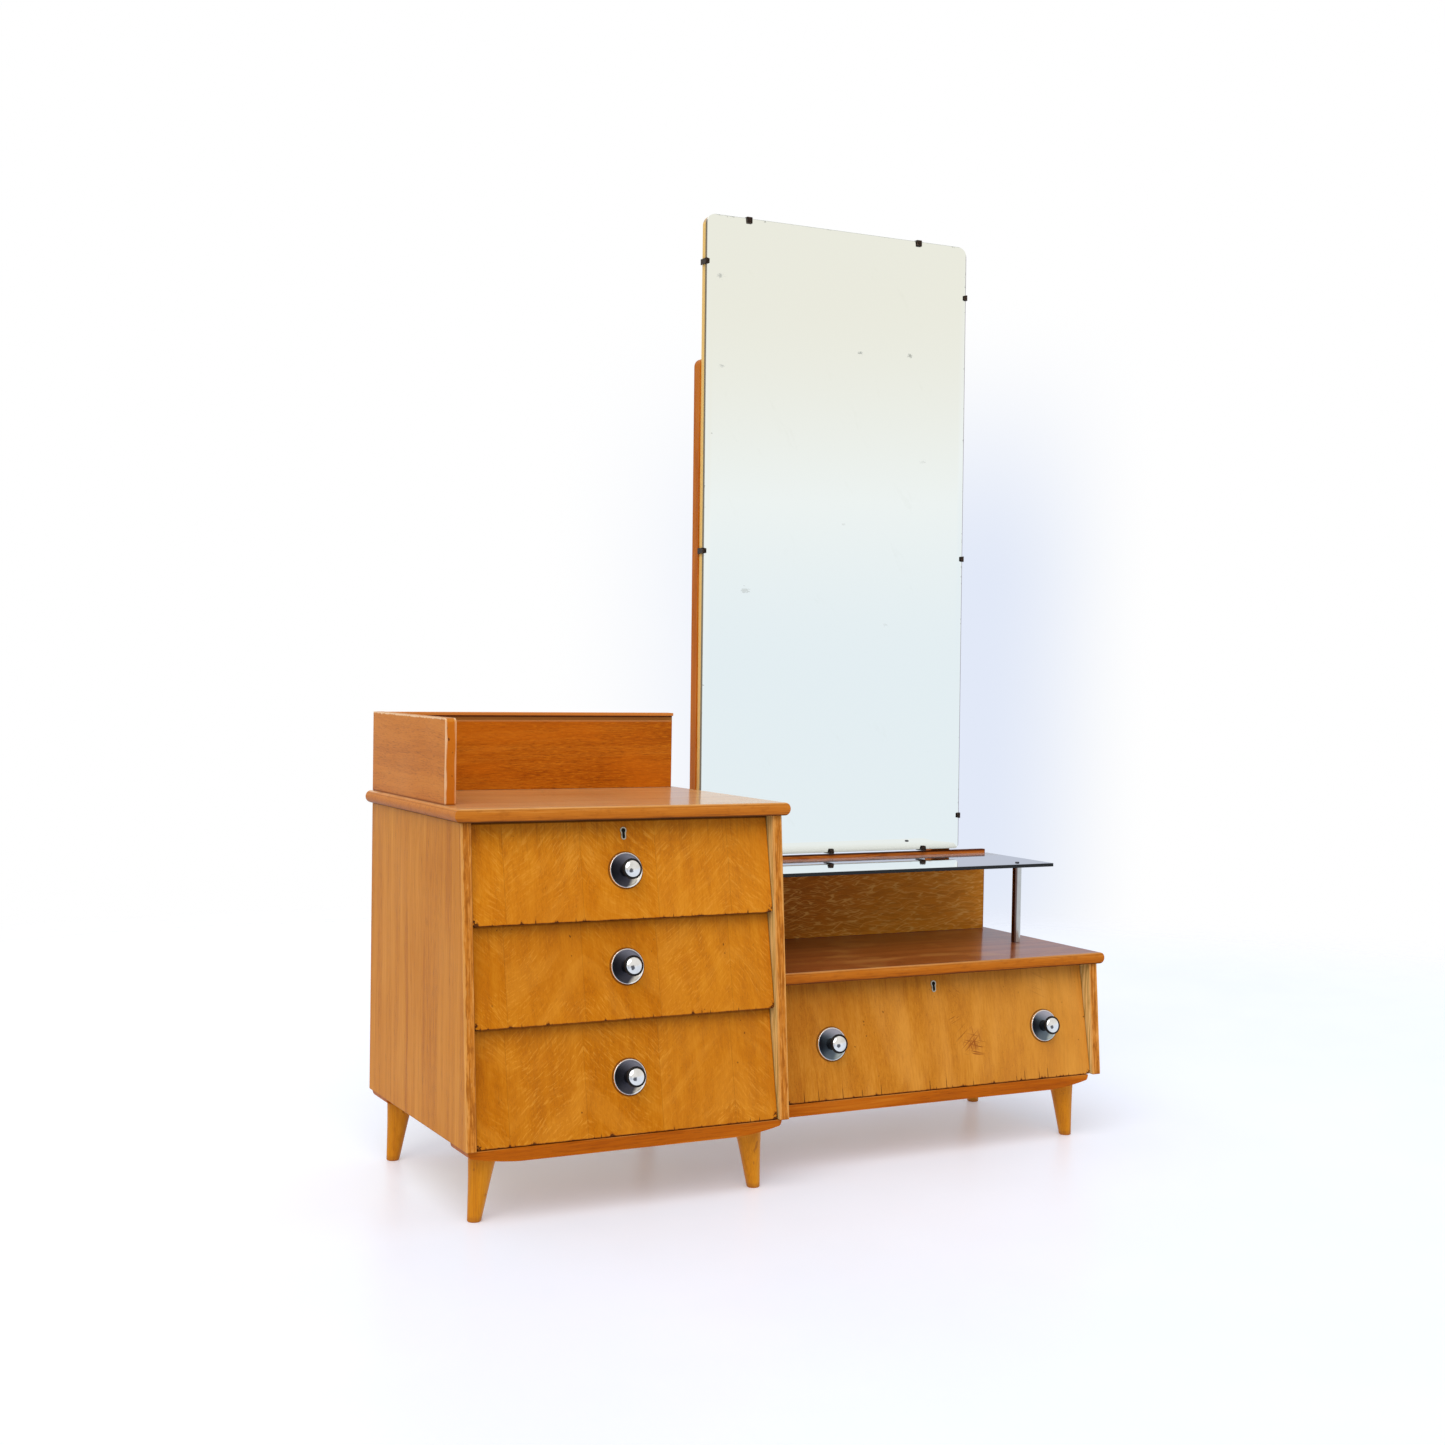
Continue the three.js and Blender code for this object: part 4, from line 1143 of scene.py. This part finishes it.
def back_screws():
    """Screws round the two case backs and through the mirror's posts, seen from behind."""
    backwards = Vector((0, 1, 0))
    inset = 12 * MM
    for case in ("chest", "console"):
        low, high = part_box(f"{case}_back")
        count = 4 if case == "chest" else 6
        for row, z in enumerate((low.z + inset, high.z - inset)):
            for column in range(count):
                x = low.x + inset + (high.x - low.x - 2 * inset) * column / (count - 1)
                screw(f"screw_{case}_{row}_{column}", Vector((x, high.y, z)), backwards)
    for side in ("left", "right"):
        low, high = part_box(f"mirror_post_{side}")
        x = (low.x + high.x) / 2
        for row, up in enumerate((0.035, 0.110, 0.300, 0.620, 0.940)):
            z = low.z + up
            y = BACK_PLANE - 1.5 * MM + (z - MIRROR_PIVOT.z) * math.sin(MIRROR_LEAN)
            screw(f"screw_post_{side}_{row}", Vector((x, y, z)), backwards, 4.2)


back_screws()

# ------------------------------------------------------------------ floor, light and camera

FLOOR_RADIUS = 3.6


def floor_material():
    """A pale floor with a faint sheen, which fades into the white round it."""
    g = Graph("floor_pale")
    scuff = g.noise(1.4, 5, rough=0.6)
    grime = g.noise(9, 4, offset=(5, 3, 1))
    colour = g.mix(g.fade(scuff, 0.35, 0.75), srgb(227, 231, 239), srgb(231, 234, 242))
    colour = g.mix(g.fade(grime, 0.6, 0.8) * 0.04, colour, srgb(196, 198, 206))
    inputs = {
        "Base Color": colour,
        "Roughness": g.spread(grime, 0.24, 0.40),
        "Specular IOR Level": 0.22,
        "Emission Color": (0.95, 0.97, 1.03, 1.0),
        "Emission Strength": 0.20,
    }
    surface = g.add("BsdfPrincipled", inputs)
    away = g.add("VectorMath", {0: g.place}, "Value", operation="LENGTH")
    rim = g.fade(away, FLOOR_RADIUS * 0.62, FLOOR_RADIUS * 0.97)
    mixed = g.add("MixShader", {0: rim, 1: surface, 2: g.add("BsdfTransparent")})
    g.node("OutputMaterial", {0: mixed})
    return g.owner


def floor():
    bm = bmesh.new()
    rings, segments = 6, 64
    centre = bm.verts.new((0, 0, 0))
    previous = None
    for ring in range(1, rings + 1):
        radius = FLOOR_RADIUS * ring / rings
        current = []
        for step in range(segments):
            angle = math.tau * step / segments
            current.append(bm.verts.new((radius * math.cos(angle), radius * math.sin(angle), 0)))
        for step in range(segments):
            after = (step + 1) % segments
            if previous is None:
                bm.faces.new((centre, current[step], current[after]))
            else:
                bm.faces.new((previous[step], current[step], current[after], previous[after]))
        previous = current
    o = add_mesh("floor", bm, floor_material())
    o.visible_glossy = False


floor()

# How strong the white surroundings and the daylight are.
AMBIENT = 0.70
SUN = 1.75


def world():
    """White all round. Reflections see a warm tint above, a cool one at the horizon, and two
    softly darker parts of the room, one in front at the left and one behind at the right."""
    scene_world = bpy.data.worlds.new("studio")
    bpy.context.scene.world = scene_world
    g = Graph(scene_world)
    x, y, z = g.parts(g.direction)

    def towards(aim, wide, narrow):
        """0 away from a direction, 1 near it, between two angles in degrees."""
        inputs = {0: g.direction, 1: Vector(aim).normalized()}
        dot = g.add("VectorMath", inputs, "Value", operation="DOT_PRODUCT")
        return g.fade(dot, math.cos(math.radians(wide)), math.cos(math.radians(narrow)))

    stops = (0.0, srgb(242, 249, 255)), (0.45, srgb(252, 254, 254)), (1.0, srgb(249, 245, 234))
    tint = g.ramp(g.fade(z, -0.02, 0.26), *stops)
    reflected = g.mix(towards((-0.47, -0.88, 0.02), 17, 8) * 0.3, tint, srgb(70, 72, 80))
    wall = towards((0.66, 0.75, 0.1), 28, 12) * 0.9
    reflected = g.mix(wall, reflected, srgb(184, 190, 206))
    # A faint shade on the white, low behind the table at its right.
    slant = g.math("DIVIDE", x, g.most(y, 0.05))
    haze = g.fade(slant, 0.84, 0.7) * g.fade(slant, 0.4, 0.62)
    haze = haze * (g.fade(z, 0.19, 0.04) * g.fade(z, -0.2, -0.1))
    haze = haze * g.fade(y, 0.2, 0.4)
    seen = g.mix(haze, srgb(255, 255, 255), srgb(226, 233, 248))
    reflected = g.add("Background", {0: reflected})
    seen = g.add("Background", {0: seen})
    shader = g.add("Background", {0: (0.91, 0.96, 1.07, 1.0), 1: AMBIENT})
    for ray, background in (("Is Glossy Ray", reflected), ("Is Camera Ray", seen)):
        shader = g.add("MixShader", {0: g.add("LightPath", None, ray), 1: shader, 2: background})
    g.node("OutputWorld", {0: shader})


world()


def daylight():
    """One broad soft light from the front left, from above."""
    data = bpy.data.lights.new("daylight", "SUN")
    data.energy = SUN
    data.angle = math.radians(50)
    data.color = (1.0, 0.98, 0.94)
    o = add_object("daylight", data)
    o.rotation_euler = Vector((0.45, 0.60, -0.80)).to_track_quat("-Z", "Y").to_euler()


daylight()

CAMERA_PLACE = Vector((-1.5348, -2.8111, 0.8104))
CAMERA_YAW = math.radians(27.415)
CAMERA_PITCH = math.radians(-1.66)
CAMERA_ROLL = math.radians(0.929)
CAMERA_LENS = 48.2


def camera():
    data = bpy.data.cameras.new("camera")
    data.lens = CAMERA_LENS
    data.sensor_width = 36
    data.clip_end = 200
    o = add_object("camera", data)
    forward = Vector((
        math.sin(CAMERA_YAW) * math.cos(CAMERA_PITCH),
        math.cos(CAMERA_YAW) * math.cos(CAMERA_PITCH),
        math.sin(CAMERA_PITCH),
    ))
    right = Vector((math.cos(CAMERA_YAW), -math.sin(CAMERA_YAW), 0))
    up = right.cross(forward)
    rolled_right = right * math.cos(CAMERA_ROLL) + up * math.sin(CAMERA_ROLL)
    rolled_up = up * math.cos(CAMERA_ROLL) - right * math.sin(CAMERA_ROLL)
    turn = Matrix((rolled_right, rolled_up, -forward)).transposed().to_4x4()
    o.matrix_world = Matrix.Translation(CAMERA_PLACE) @ turn
    bpy.context.scene.camera = o


camera()
bpy.context.scene.view_settings.view_transform = "Standard"

bpy.context.view_layer.update()
